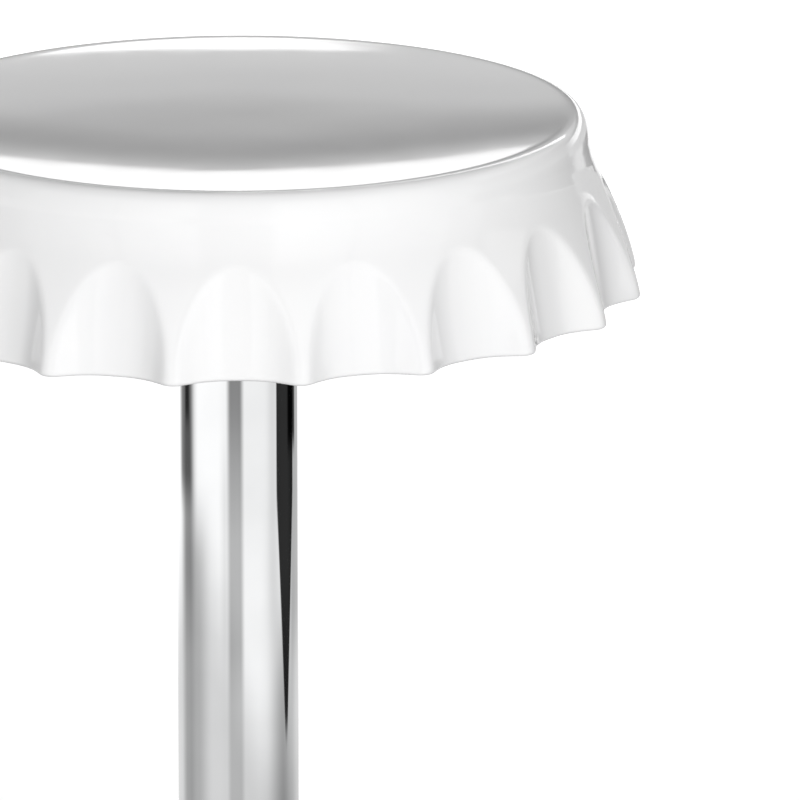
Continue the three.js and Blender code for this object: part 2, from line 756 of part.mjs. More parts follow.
function makeColumnCollar() {
  const bore = cylinderRadius + 3 * fitGap;
  const profile = [
    [bore, bushingTop],
    [columnInner - fitGap, bushingTop],
    [columnInner - fitGap, columnTop],
    [columnRadius, columnTop],
    [columnRadius, collarTop - collarEdge],
    [columnRadius - collarEdge, collarTop],
    [bore + collarEdge, collarTop],
    [bore, collarTop - collarEdge],
  ];
  addPart(base, "column_collar", turned(profile, fineSides), blackPlastic());
}

// The socket: a flange bolted to the weight, and a spigot inside the column that grips the sleeve's foot
const hubBoltPlaces = placesOnCircle(
  socketFlangeRadius - hubBoltInset,
  turnsOf(hubBoltCount, Math.PI / hubBoltCount),
);

function makeSocket() {
  const profile = [
    [shelfBore, weightTop],
    [socketFlangeRadius, weightTop],
    [socketFlangeRadius, socketTop],
    [columnInner - fitGap, socketTop],
    [columnInner - fitGap, sleeveTaperTop],
    [sleeveRadius + fitGap, sleeveTaperTop],
    [sleeveFoot + fitGap, sleeveBottom - fitGap],
    [shelfBore, sleeveBottom - fitGap],
  ];
  const holes = hubBoltPlaces.map(([x, y]) =>
    drill(hubBoltRadius + fitGap, weightTop, socketTop).translate(x, y, 0));
  addPart(base, "base_socket", cut(turned(profile, plainSides), ...holes), castIron());
}

function makeWeight() {
  const headSeat = floorRingHeight + hubBoltHeadHeight + fitGap;
  const cuts = hubBoltPlaces.flatMap(([x, y]) => [
    drill(hubBoltRadius + fitGap, floorRingHeight, weightTop).translate(x, y, 0),
    disc(hubBoltHeadRadius + fitGap, floorRingHeight - overrun, headSeat, smallSides).translate(x, y, 0),
  ]);
  cuts.push(disc(shelfBore, floorRingHeight - overrun, weightTop + overrun, plainSides));
  const blank = disc(coverRadius - weightMargin, floorRingHeight, weightTop, fineSides);
  addPart(base, "base_weight", cut(blank, ...cuts), castIron());
}

function makeHubBolts() {
  const headBottom = floorRingHeight + fitGap;
  const headTop = floorRingHeight + hubBoltHeadHeight;
  hubBoltPlaces.forEach((place, i) => {
    const bolt = hexBolt(hubBoltHeadRadius, headBottom, headTop, hubBoltRadius, socketTop);
    addPart(base, "hub_bolt_" + (i + 1), bolt, zincSteel(), place);
  });
}

// The spun cover: an upright edge, a shallow slope and a trumpet that turns up round the column
function coverProfile() {
  const slope = THREE.MathUtils.degToRad(coverSlopeDegrees);
  const sweep = Math.PI / 2 - slope;
  const edgeSteps = 2;
  const trumpetSteps = 6;
  const points = [[coverRadius, floorRingHeight]];
  for (let step = 0; step <= edgeSteps; step++) {
    const [x, y] = onCircle(coverEdgeRadius, (step * sweep) / edgeSteps);
    points.push([coverRadius - coverEdgeRadius + x, coverEdgeTop - coverEdgeRadius + y]);
  }
  const [slopeRadius, slopeZ] = points[points.length - 1];
  const neckOuter = columnRadius + fitGap + coverWall;
  const centreRadius = neckOuter + trumpetRadius;
  const footRadius = centreRadius - trumpetRadius * Math.sin(slope);
  const footZ = slopeZ + (slopeRadius - footRadius) * Math.tan(slope);
  const centreZ = footZ + trumpetRadius * Math.cos(slope);
  for (let step = 0; step <= trumpetSteps; step++) {
    const [x, y] = onCircle(trumpetRadius, 1.5 * Math.PI - slope - (step * sweep) / trumpetSteps);
    points.push([centreRadius + x, centreZ + y]);
  }
  points.push([neckOuter, centreZ + neckHeight]);
  return points;
}

// The same profile set in by a distance: each point moves square to the line through its neighbours
function insetProfile(points, distance) {
  return points.map((point, i) => {
    const before = points[Math.max(i - 1, 0)];
    const after = points[Math.min(i + 1, points.length - 1)];
    const along = new THREE.Vector2(after[0] - before[0], after[1] - before[1]).normalize();
    return [point[0] - distance * along.y, point[1] + distance * along.x];
  });
}

function makeBaseCover() {
  const outside = coverProfile();
  const inside = insetProfile(outside, coverWall).reverse();
  addPart(base, "base_cover", turned([...outside, ...inside], fineSides), chrome());
}

function makeFloorRing() {
  const inner = baseRadius - floorRingWidth;
  const profile = [
    [inner, 0],
    [baseRadius - floorRingEdge, 0],
    [baseRadius, floorRingEdge],
    [baseRadius, floorRingHeight - floorRingEdge],
    [baseRadius - floorRingEdge, floorRingHeight],
    [inner, floorRingHeight],
  ];
  addPart(base, "floor_ring", turned(profile, fineSides), rubber());
}

// The foot ring, its spokes and the collar that clamps it to the column
const hoop = (tubeRadius) =>
  new THREE.TorusGeometry(footRingRadius, tubeRadius, smallSides, fineSides).translate(0, 0, footRingHeight);
const radialBar = (radius, from, to, turn, sides) =>
  barAlongX(radius, from, to, sides).rotateZ(turn).translate(0, 0, footRingHeight);
const clampBottom = footRingHeight - clampHeight / 2;
const clampTop = footRingHeight + clampHeight / 2;
const clampScrewTurns = turnsOf(spokeCount, -Math.PI / 2);

function makeFootRing() {
  addPart(base, "foot_ring", hoop(footTubeRadius), chrome());
  const ringCut = hoop(footTubeRadius + fitGap);
  const clampCut = disc(clampRadius + fitGap, clampBottom, clampTop, fineSides);
  turnsOf(spokeCount, Math.PI / 2).forEach((turn, i) => {
    const bar = radialBar(spokeRadius, 0, footRingRadius, turn, smallSides);
    addPart(base, "foot_ring_spoke_" + (i + 1), cut(bar, ringCut, clampCut), chrome());
  });
}

function makeFootRingClamp() {
  const bore = columnRadius + fitGap;
  const profile = [
    [bore, clampBottom],
    [clampRadius - clampEdge, clampBottom],
    [clampRadius, clampBottom + clampEdge],
    [clampRadius, clampTop - clampEdge],
    [clampRadius - clampEdge, clampTop],
    [bore, clampTop],
  ];
  const holes = clampScrewTurns.map((turn) =>
    radialBar(clampScrewRadius + fitGap, columnInner, clampRadius + overrun, turn, smallSides));
  addPart(base, "foot_ring_clamp", cut(turned(profile, fineSides), ...holes), chrome());
}

function makeClampScrews() {
  const keyBottom = clampRadius - clampWall / 2;
  clampScrewTurns.forEach((turn, i) => {
    const screw = radialBar(clampScrewRadius, columnRadius + fitGap, clampRadius, turn, smallSides);
    const keyHole = radialBar(clampScrewRadius / 2, keyBottom, clampRadius + overrun, turn, hexSides);
    addPart(base, "clamp_screw_" + (i + 1), cut(screw, keyHole), zincSteel());
  });
}

makeFloorRing();
makeWeight();
makeSocket();
makeHubBolts();
makeBaseCover();
makeColumnTube();
makeColumnCollar();
makeLiftSleeve();
makeGuideBushing();
makeFootRing();
makeFootRingClamp();
makeClampScrews();
makeThrustBearing();
makeRodRetainer();
makePistonRod();
makePiston();
makeRodBumper();
makeGasCylinder();
makeRodGuide();
makeValvePin();
makeTaperHub();
makeMechanismBox();
makeLeverArm();
makeLeverGrip();
makeLeverPin();
makeSwivelPlate();
makePlateBolts();
makeTeeNuts();
makeSeatBoard();
makeBoardScrews();
makeSeatShell();

export default stool;
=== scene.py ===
# The looks of the counter stool: a glossy white fluted seat on a chromed column, in a white studio.
# Metres, +Z up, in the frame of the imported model.
import math

import bpy
from mathutils import Matrix, Vector


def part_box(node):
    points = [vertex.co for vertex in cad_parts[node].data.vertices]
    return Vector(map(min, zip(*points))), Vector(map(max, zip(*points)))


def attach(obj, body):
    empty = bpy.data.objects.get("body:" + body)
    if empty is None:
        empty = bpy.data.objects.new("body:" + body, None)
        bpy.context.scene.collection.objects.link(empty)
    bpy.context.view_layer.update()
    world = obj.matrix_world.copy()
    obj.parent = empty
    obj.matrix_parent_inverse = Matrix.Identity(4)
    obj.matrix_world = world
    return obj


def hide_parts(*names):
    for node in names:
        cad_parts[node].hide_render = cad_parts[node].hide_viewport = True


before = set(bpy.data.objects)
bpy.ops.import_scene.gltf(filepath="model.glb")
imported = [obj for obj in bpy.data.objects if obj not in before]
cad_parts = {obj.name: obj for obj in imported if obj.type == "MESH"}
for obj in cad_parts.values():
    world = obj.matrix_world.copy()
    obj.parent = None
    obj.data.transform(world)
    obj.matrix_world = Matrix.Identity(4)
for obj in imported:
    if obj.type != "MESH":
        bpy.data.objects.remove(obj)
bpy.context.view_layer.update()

MM = 0.001
X_AXIS = Vector((1, 0, 0))

# These lay a shape that is made along Z along another axis
ALONG_X = Matrix.Rotation(math.pi / 2, 4, "Y")
ALONG_Y = Matrix.Rotation(-math.pi / 2, 4, "X")

# Seat shell
TOOTH_COUNT = 20
FLARE_OUT = 25.5 * MM
SCOOP_DEPTH = 12 * MM
SHOULDER_DEPTH = 25 * MM
SCOOP_TOP_DEPTH = 33 * MM
SHOULDER_DRAFT = 1.5 * MM
RIM_ROUND = 7 * MM
RIM_ROUND_HEIGHT = 14 * MM
DISH_DEPTH = 5 * MM
LIP_WIDTH = 4.5 * MM
LIP_TURN = math.radians(7.5)
SHELL_WALL = 3.5 * MM
SHOULDER_SOFTNESS = 3 * MM
BOSS_RADIUS = 7 * MM
BOSS_BORE = 2.3 * MM
SCOOP_SOFTNESS_SHARE = 0.09
SCOOP_WIDTH_SHARE = 0.9
FLARE_POWER_SHARE = 1.38
ARCH_HEIGHT_SHARE = 0.85
SCOOP_POWER_SHARE = 2.5
DISH_POWER_SHARE = 3

# Column and base
TUBE_WALL = 2 * MM
TUBE_EDGE = 0.4 * MM
COLLAR_EDGE = 1.2 * MM
COLLAR_GAP = 0.9 * MM
FIT_GAP = 0.3 * MM
COVER_WALL = 1.5 * MM
COVER_EDGE_RADIUS = 6 * MM
COVER_SLOPE = math.radians(7)
TRUMPET_RADIUS = 55 * MM
FLOOR_RING_WIDTH = 34 * MM
FLOOR_RING_EDGE = 1.5 * MM

# Foot ring
FOOT_TUBE_RADIUS = 11 * MM
SPOKE_RADIUS = 8 * MM
SPOKE_COUNT = 3
WELD_RADIUS = 1.8 * MM
CLAMP_EDGE = 1.5 * MM
CLAMP_SCREW_HOLE = 3.3 * MM

# Lift and lever
CYLINDER_WALL = 2 * MM
CYLINDER_TOP_WALL = 8 * MM
CYLINDER_TAPER = 0.8 * MM
CYLINDER_TAPER_LENGTH = 40 * MM
VALVE_BORE = 3.3 * MM
LEVER_RADIUS = 4.5 * MM
LEVER_DROP = 30 * MM
LEVER_BEND_SETOUT = 32 * MM
LEVER_BEND_LENGTH = 38 * MM
LEVER_EASE_SHARE = 0.05
PAD_WIDTH = 16 * MM
PAD_EDGE = 1 * MM
EYE_WALL = 3 * MM
EYE_LENGTH = 26 * MM
EYE_SINK_SHARE = 0.25
PIN_RADIUS = 3 * MM
GRIP_END = 3 * MM
GRIP_GROOVE = 0.7 * MM
GRIP_FLAT_SHARE = 0.8
GRIP_END_SHARE = 0.72
GRIP_TAPER_SHARE = 0.18
GRIP_PLAIN_SHARE = 1.2
GRIP_GROOVE_COUNT = 6

# How finely pieces are divided
COLUMNS_PER_TOOTH = 28
DISH_ROWS = 36
RIM_ROWS = 20
RIM_ROW_POWER_SHARE = 1.3
SHOULDER_ROW_SHARES = (0.1, 0.3, 0.5, 0.7, 0.85)
FLARE_ROWS = 36
EDGE_ROWS = 8
INSIDE_ROW_STEP = 3
ROOF_ROWS_LEFT_OUT = 6
SLOPE_POINT_SHARES = (0.02, 0.5, 0.98)
GROOVE_STEPS = 8
FINE_SIDES = 160
PLAIN_SIDES = 64
SMALL_SIDES = 32
BEAD_SIDES = 16
ROUND_STEPS = 5
COVER_EDGE_STEPS = 2 * ROUND_STEPS
TRUMPET_STEPS = 6 * ROUND_STEPS
ROUND_REACH_SHARE = 0.25
STRAIGHT_ABOVE = math.radians(150)
SOFT_STEP_LIMIT = 30
BEVEL_WIDTH = 0.25 * MM
BEVEL_STEPS = 2
JOIN_REACH = 0.005 * MM
SMOOTH_BELOW = math.radians(45)

# Places taken from the CAD model
low = {name: Vector(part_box(name)[0]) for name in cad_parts}
high = {name: Vector(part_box(name)[1]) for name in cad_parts}
rim_z = high["seat_shell"].z
seat_depth = rim_z - low["seat_shell"].z
tip_radius = high["seat_shell"].x / math.cos(math.pi / TOOTH_COUNT)
shoulder_radius = tip_radius - FLARE_OUT
crest_radius = shoulder_radius - SHOULDER_DRAFT - RIM_ROUND
column_radius = high["column_tube"].x
clamp_radius = high["foot_ring_clamp"].y
foot_ring_radius = high["foot_ring"].x - FOOT_TUBE_RADIUS
foot_ring_z = (low["foot_ring_clamp"].z + high["foot_ring_clamp"].z) / 2
lever_pin = (low["lever_pin_clip"] + high["lever_pin_clip"]) / 2
spoke_turns = [math.pi / 2 + 2 * math.pi * i / SPOKE_COUNT for i in range(SPOKE_COUNT)]
clamp_screw_turns = [turn + math.pi for turn in spoke_turns]


# Shapes are pairs of points and faces
def new_object(name, verts, faces):
    mesh = bpy.data.meshes.new(name)
    mesh.from_pydata(verts, [], faces)
    mesh.validate()
    piece = bpy.data.objects.new(name, mesh)
    bpy.context.scene.collection.objects.link(piece)
    return piece


def new_piece(name, shape, body, slot, node):
    """A piece of the stool that stands for a CAD node, rides a body and has its slot's finish."""
    piece = new_object(name, *shape)
    piece.data.shade_smooth()
    piece.data.set_sharp_from_angle(angle=SMOOTH_BELOW)
    piece.data.materials.append(materials[slot])
    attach(piece, body)
    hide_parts(node)
    return piece


def merged(*shapes):
    verts, faces = [], []
    for more_verts, more_faces in shapes:
        faces += [tuple(i + len(verts) for i in face) for face in more_faces]
        verts += more_verts
    return verts, faces


def moved(shape, matrix):
    verts, faces = shape
    return [tuple(matrix @ Vector(point)) for point in verts], faces


def on_circle(radius, turn, z):
    return radius * math.cos(turn), radius * math.sin(turn), z


def turns_of(count):
    return [2 * math.pi * i / count for i in range(count)]


def circle(radius, sides, centre=(0, 0)):
    """A round outline, anticlockwise."""
    x, y = centre
    return [(x + radius * math.cos(turn), y + radius * math.sin(turn)) for turn in turns_of(sides)]


def band_faces(rows, columns, start=0, closed=False):
    """Quads between rows of points that each go once round. closed joins the last row to the first too."""
    faces = []
    for row in range(rows if closed else rows - 1):
        here = start + row * columns
        above = start + (row + 1) % rows * columns
        for column in range(columns):
            beside = (column + 1) % columns
            faces.append((here + column, here + beside, above + beside, above + column))
    return faces


def rounded(corners, radius, closed=True):
    """An outline with its sharp corners rounded, and a point beside each so that the flats shade flat."""
    points = [Vector(corner) for corner in corners]
    outline = []
    for i, corner in enumerate(points):
        if not closed and i in (0, len(points) - 1):
            outline.append(tuple(corner))
            continue
        before = points[i - 1] - corner
        after = points[(i + 1) % len(points)] - corner
        if before.angle(after) > STRAIGHT_ABOVE:
            outline.append(tuple(corner))
            continue
        reach = min(radius, ROUND_REACH_SHARE * before.length, ROUND_REACH_SHARE * after.length)
        start = corner + before.normalized() * reach
        end = corner + after.normalized() * reach
        outline.append(tuple(start + before.normalized() * reach / 2))
        for step in range(ROUND_STEPS + 1):
            share = step / ROUND_STEPS
            outline.append(tuple(start.lerp(corner, share).lerp(corner.lerp(end, share), share)))
        outline.append(tuple(end + after.normalized() * reach / 2))
    return outline


def turned(outline, sides):
    """A closed outline of (radius, height) points turned round the Z axis. It goes round anticlockwise."""
    verts = [on_circle(radius, turn, z) for radius, z in outline for turn in turns_of(sides)]
    return verts, band_faces(len(outline), sides, closed=True)


def capped(profile, sides):
    """An open profile of (radius, height) points, from bottom to top, turned round and closed."""
    verts = [on_circle(radius, turn, z) for radius, z in profile for turn in turns_of(sides)]
    faces = band_faces(len(profile), sides)
    last = len(verts) - sides
    return verts, faces + [tuple(reversed(range(sides))), tuple(range(last, last + sides))]


def swept(path, section):
    """A closed section of (sideways, upwards) points pushed along a path in the YZ plane, and closed."""
    verts = []
    for i, place in enumerate(path):
        along = (path[min(i + 1, len(path) - 1)] - path[max(i - 1, 0)]).normalized()
        upwards = X_AXIS.cross(along)
        verts += [tuple(place + X_AXIS * x + upwards * y) for x, y in section]
    sides = len(section)
    last = len(verts) - sides
    faces = [tuple(reversed(face)) for face in band_faces(len(path), sides)]
    return verts, faces + [tuple(range(sides)), tuple(reversed(range(last, last + sides)))]


# The seat's outer surface. drop is measured down from the rim, turn is the angle round the axis.
def soft_step(value, softness):
    """Nothing below zero and the value itself above it, with a soft bend between."""
    if value > SOFT_STEP_LIMIT * softness:
        return value
    return softness * math.log1p(math.exp(value / softness))


def bowl_drop(radius):
    """The dish, whose slope turns over in the last stretch before the crest."""
    over = max(radius - (crest_radius - LIP_WIDTH), 0)
    bowl = DISH_DEPTH * (1 - (radius / crest_radius) ** DISH_POWER_SHARE)
    return bowl + LIP_TURN * over ** 2 / (2 * LIP_WIDTH)


dish_radii = [crest_radius * (1 - (1 - step / DISH_ROWS) ** 2) for step in range(1, DISH_ROWS + 1)]
lip_drop = min(bowl_drop(radius) for radius in dish_radii)


def dish_drop(radius):
    """The dish's depth below the highest point of the lip."""
    return bowl_drop(radius) - lip_drop


def ridge_radius(drop):
    """How far out the shoulder and the ridges between the scoops are."""
    above = max(SHOULDER_DEPTH - drop, 0) / (SHOULDER_DEPTH - RIM_ROUND_HEIGHT)
    down = soft_step(drop - SHOULDER_DEPTH, SHOULDER_SOFTNESS) / (seat_depth - SHOULDER_DEPTH)
    flare = FLARE_OUT * (1 - (1 - min(down, 1)) ** FLARE_POWER_SHARE)
    return shoulder_radius - SHOULDER_DRAFT * above + flare


def skirt_radius(turn, drop):
    """How far out the skirt is: the ridges' surface, hollowed by scoops with arched tops."""
    ridge = ridge_radius(drop)
    down = (drop - SCOOP_TOP_DEPTH) / (seat_depth - SCOOP_TOP_DEPTH)
    if down <= 0:
        return ridge
    scoop_top_radius = ridge_radius(SCOOP_TOP_DEPTH)
    floor = scoop_top_radius + (tip_radius - SCOOP_DEPTH - scoop_top_radius) * down
    arch_down = min(down / ARCH_HEIGHT_SHARE, 1)
    arch_width = SCOOP_WIDTH_SHARE * math.sqrt(1 - (1 - arch_down) ** 2)
    tooth = turn * TOOTH_COUNT / (2 * math.pi)
    across = 2 * abs(tooth - round(tooth))
    hollow = 1 - (across / arch_width) ** SCOOP_POWER_SHARE
    return ridge - (ridge - floor) * soft_step(hollow, SCOOP_SOFTNESS_SHARE)


def shell_turns():
    """Turns round the seat, set closer together near the ridges."""
    turns = []
    for tooth in range(TOOTH_COUNT):
        for column in range(COLUMNS_PER_TOOTH):
            place = 2 * column / COLUMNS_PER_TOOTH - 1
            share = (place + math.sin(math.pi * place / 2)) / 4
            turns.append((tooth + share) * 2 * math.pi / TOOTH_COUNT)
    return turns


def steady(radius, drop):
    """A row of the shell with the same radius all round."""
    return (lambda turn: radius), rim_z - drop


def fluted(drop, inset, sink=0):
    """A row of the skirt, set in from its outer surface and sunk below its own level."""
    return (lambda turn: skirt_radius(turn, drop) - inset), rim_z - drop - sink


def shell_rows():
    """Rows from the top's middle, over the rim, down the skirt, round its edge and back up inside."""
    rows = [steady(radius, dish_drop(radius)) for radius in dish_radii]
    crest_drop = dish_drop(crest_radius)
    for step in range(1, RIM_ROWS + 1):
        angle = math.pi / 2 * (step / RIM_ROWS) ** RIM_ROW_POWER_SHARE
        drop = crest_drop + (RIM_ROUND_HEIGHT - crest_drop) * (1 - math.cos(angle))
        rows.append(steady(crest_radius + RIM_ROUND * math.sin(angle), drop))
    edge = SHELL_WALL / 2
    skirt_end = seat_depth - edge
    shoulder, flare_height = SHOULDER_DEPTH - RIM_ROUND_HEIGHT, skirt_end - SHOULDER_DEPTH
    rows += [fluted(RIM_ROUND_HEIGHT + shoulder * share, 0) for share in SHOULDER_ROW_SHARES]
    flare = [SHOULDER_DEPTH + flare_height * step / FLARE_ROWS for step in range(FLARE_ROWS + 1)]
    rows += [fluted(drop, 0) for drop in flare]
    for step in range(1, EDGE_ROWS):
        angle = math.pi * step / EDGE_ROWS
        rows.append(fluted(skirt_end, edge * (1 - math.cos(angle)), edge * math.sin(angle)))
    rows += [fluted(drop, SHELL_WALL) for drop in reversed(flare[::INSIDE_ROW_STEP])]
    for step in range(ROUND_STEPS + 1):
        angle = math.pi / 2 * step / ROUND_STEPS
        radius = shoulder_radius - SHOULDER_DRAFT - SHELL_WALL - RIM_ROUND * (1 - math.cos(angle))
        rows.append(steady(radius, SHELL_WALL + RIM_ROUND * (1 - math.sin(angle))))
    roof_radii = dish_radii[:-ROOF_ROWS_LEFT_OUT:INSIDE_ROW_STEP]
    return rows + [steady(radius, SHELL_WALL + dish_drop(radius)) for radius in reversed(roof_radii)]


def make_seat_shell():
    turns = shell_turns()
    rows = shell_rows()
    verts = [(0, 0, rim_z - dish_drop(0))]
    for radius_at, z in rows:
        verts += [on_circle(radius_at(turn), turn, z) for turn in turns]
    verts.append((0, 0, rim_z - dish_drop(0) - SHELL_WALL))
    sides = len(turns)
    last = len(verts) - 1
    faces = [tuple(reversed(face)) for face in band_faces(len(rows), sides, start=1)]
    for i in range(sides):
        beside = (i + 1) % sides
        faces.append((0, 1 + i, 1 + beside))
        faces.append((last, last - sides + beside, last - sides + i))
    new_piece("cap_shell", (verts, faces), "seat", "seat_white", "seat_shell")


def make_bosses():
    """The shell's posts that the board is screwed to."""
    bosses = []
    screws = [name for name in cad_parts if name.startswith("board_screw")]
    for name in screws:
        place = (low[name] + high[name]) / 2
        bottom, top = high["seat_board"].z, rim_z - dish_drop(place.xy.length) - SHELL_WALL / 2
        corners = [(BOSS_BORE, bottom), (BOSS_RADIUS, bottom), (BOSS_RADIUS, top), (BOSS_BORE, top)]
        boss = turned(rounded(corners, TUBE_EDGE), SMALL_SIDES)
        bosses.append(moved(boss, Matrix.Translation((place.x, place.y, 0))))
    new_piece("cap_bosses", merged(*bosses), "seat", "seat_white", "seat_shell")


# Column, collar and lift
def make_column():
    bottom, top = low["column_tube"].z, high["column_tube"].z
    inner = column_radius - TUBE_WALL
    corners = [(inner, bottom), (column_radius, bottom), (column_radius, top), (inner, top)]
    skin = turned(rounded(corners, TUBE_EDGE), FINE_SIDES)
    new_piece("column_skin", skin, "base", "chrome", "column_tube")


def make_collar():
    bottom, step, top = low["column_collar"].z, high["column_tube"].z, high["column_collar"].z
    bore = high["gas_cylinder"].x + COLLAR_GAP
    plug = column_radius - TUBE_WALL - FIT_GAP
    outside = [(plug, bottom), (plug, step), (column_radius, step), (column_radius, top)]
    collar = turned(rounded([(bore, bottom), *outside, (bore, top)], COLLAR_EDGE), FINE_SIDES)
    new_piece("collar_skin", collar, "base", "black_plastic", "column_collar")


def make_gas_cylinder():
    bottom, top = low["gas_cylinder"].z, high["gas_cylinder"].z
    radius = high["gas_cylinder"].x
    inner = radius - CYLINDER_WALL
    taper_start, cavity_top = top - CYLINDER_TAPER_LENGTH, top - CYLINDER_TOP_WALL
    corners = [
        (inner, bottom),
        (radius, bottom),
        (radius, taper_start),
        (radius - CYLINDER_TAPER, top),
        (VALVE_BORE, top),
        (VALVE_BORE, cavity_top),
        (inner - CYLINDER_TAPER, cavity_top),
        (inner - CYLINDER_TAPER, taper_start),
        (inner, taper_start),
    ]
    cylinder = turned(rounded(corners, TUBE_EDGE), PLAIN_SIDES)
    new_piece("cylinder_skin", cylinder, "seat", "chrome", "gas_cylinder")


# Foot ring
def foot_ring_place(turn):
    """Turns what lies along X out from the column, at the foot ring's height."""
    return Matrix.Translation((0, 0, foot_ring_z)) @ Matrix.Rotation(turn, 4, "Z")


def make_foot_ring():
    outline = circle(FOOT_TUBE_RADIUS, SMALL_SIDES, (foot_ring_radius, foot_ring_z))
    new_piece("foot_ring_skin", turned(outline, FINE_SIDES), "base", "chrome", "foot_ring")


def weld_bead(reach_at):
    """A bead round a spoke that lies along X. reach_at(side, up) gives how far out its middle is."""
    verts = []
    for turn in turns_of(SMALL_SIDES):
        side, up = math.cos(turn), math.sin(turn)
        reach = reach_at(SPOKE_RADIUS * side, SPOKE_RADIUS * up)
        for across in turns_of(BEAD_SIDES):
            out = SPOKE_RADIUS + WELD_RADIUS * math.cos(across)
            verts.append((reach + WELD_RADIUS * math.sin(across), out * side, out * up))
    return verts, band_faces(SMALL_SIDES, BEAD_SIDES, closed=True)


def make_spokes():
    def clamp_reach(side, up):
        return math.sqrt(clamp_radius ** 2 - side ** 2)

    def ring_reach(side, up):
        tube = math.sqrt(FOOT_TUBE_RADIUS ** 2 - up ** 2)
        return math.sqrt((foot_ring_radius - tube) ** 2 - side ** 2)

    start, end = clamp_radius - CLAMP_EDGE, foot_ring_radius - FOOT_TUBE_RADIUS / 2
    bar = capped([(SPOKE_RADIUS, start), (SPOKE_RADIUS, end)], PLAIN_SIDES)
    spoke = merged(moved(bar, ALONG_X), weld_bead(clamp_reach), weld_bead(ring_reach))
    for i, turn in enumerate(spoke_turns, 1):
        shape = moved(spoke, foot_ring_place(turn))
        new_piece(f"foot_ring_bar_{i}", shape, "base", "chrome", f"foot_ring_spoke_{i}")


def make_clamp():
    """The foot ring's collar round the column, drilled for its screws."""
    bottom, top = low["foot_ring_clamp"].z, high["foot_ring_clamp"].z
    bore = column_radius + FIT_GAP
    corners = [(bore, bottom), (clamp_radius, bottom), (clamp_radius, top), (bore, top)]
    collar = turned(rounded(corners, CLAMP_EDGE), FINE_SIDES)
    clamp = new_piece("foot_ring_collar", collar, "base", "chrome", "foot_ring_clamp")
    depths = (column_radius - TUBE_WALL, 2 * clamp_radius)
    drill = capped([(CLAMP_SCREW_HOLE, depth) for depth in depths], SMALL_SIDES)
    drills = [moved(drill, foot_ring_place(turn) @ ALONG_X) for turn in clamp_screw_turns]
    tool = new_object("clamp_drills", *merged(*drills))
    cut = clamp.modifiers.new("screw_holes", "BOOLEAN")
    cut.operation = "DIFFERENCE"
    cut.solver = "EXACT"
    cut.object = tool
    bpy.context.view_layer.update()
    holed = bpy.data.meshes.new_from_object(clamp.evaluated_get(bpy.context.evaluated_depsgraph_get()))
    clamp.modifiers.remove(cut)
    clamp.data = holed
    bpy.data.objects.remove(tool)


# Base
def cover_outline():
    """The spun cover's section: an upright edge, a shallow slope and a trumpet up round the column."""
    radius, bottom, top = high["base_cover"].x, low["base_cover"].z, high["base_cover"].z
    edge_top = high["base_weight"].z + FIT_GAP + COVER_WALL
    sweep = math.pi / 2 - COVER_SLOPE
    outside = [(radius, bottom)]
    for step in range(COVER_EDGE_STEPS + 1):
        x, y, _ = on_circle(COVER_EDGE_RADIUS, sweep * step / COVER_EDGE_STEPS, 0)
        outside.append((radius - COVER_EDGE_RADIUS + x, edge_top - COVER_EDGE_RADIUS + y))
    slope_radius, slope_z = outside[-1]
    centre = column_radius + FIT_GAP + COVER_WALL + TRUMPET_RADIUS
    foot_radius = centre - TRUMPET_RADIUS * math.sin(COVER_SLOPE)
    foot_z = slope_z + (slope_radius - foot_radius) * math.tan(COVER_SLOPE)
    for share in SLOPE_POINT_SHARES:
        x = slope_radius + (foot_radius - slope_radius) * share
        outside.append((x, slope_z + (foot_z - slope_z) * share))
    centre_z = foot_z + TRUMPET_RADIUS * math.cos(COVER_SLOPE)
    for step in range(TRUMPET_STEPS + 1):
        turn = 1.5 * math.pi - COVER_SLOPE - sweep * step / TRUMPET_STEPS
        x, y, _ = on_circle(TRUMPET_RADIUS, turn, 0)
        outside.append((centre + x, centre_z + y))
    outside.append((centre - TRUMPET_RADIUS, top))
    return outside + inset(outside, COVER_WALL)[::-1]


def inset(points, distance):
    """The same line set in: each point moves square to the line through its neighbours."""
    result = []
    for i, (x, y) in enumerate(points):
        before, after = points[max(i - 1, 0)], points[min(i + 1, len(points) - 1)]
        along = (Vector(after) - Vector(before)).normalized()
        result.append((x - distance * along.y, y + distance * along.x))
    return result


def make_base_cover():
    cover = turned(rounded(cover_outline(), TUBE_EDGE), FINE_SIDES)
    new_piece("base_skin", cover, "base", "chrome", "base_cover")


def make_floor_ring():
    bottom, top, outer = low["floor_ring"].z, high["floor_ring"].z, high["floor_ring"].x
    inner = outer - FLOOR_RING_WIDTH
    corners = [(inner, bottom), (outer, bottom), (outer, top), (inner, top)]
    ring = turned(rounded(corners, FLOOR_RING_EDGE), FINE_SIDES)
    new_piece("floor_ring_skin", ring, "base", "rubber", "floor_ring")


# Lever
def lever_path(inner):
    """The lever's middle line, from its eye out to its end."""
    def at(y, z):
        return Vector((0, y, lever_pin.z + z))

    start = lever_pin.y + LEVER_BEND_SETOUT
    end = start + LEVER_BEND_LENGTH
    pull = LEVER_BEND_LENGTH / 2
    first, second = at(start, 0), at(start + pull, 0)
    third, fourth = at(end - pull, -LEVER_DROP), at(end, -LEVER_DROP)
    tail = at(high["lever_arm"].y, -LEVER_DROP)
    path = [at(inner, 0), first.lerp(at(inner, 0), LEVER_EASE_SHARE)]
    for step in range(SMALL_SIDES + 1):
        done = step / SMALL_SIDES
        left = 1 - done
        before = first * left ** 3 + second * 3 * left * left * done
        path.append(before + third * 3 * left * done * done + fourth * done ** 3)
    return path + [fourth.lerp(tail, LEVER_EASE_SHARE), tail]


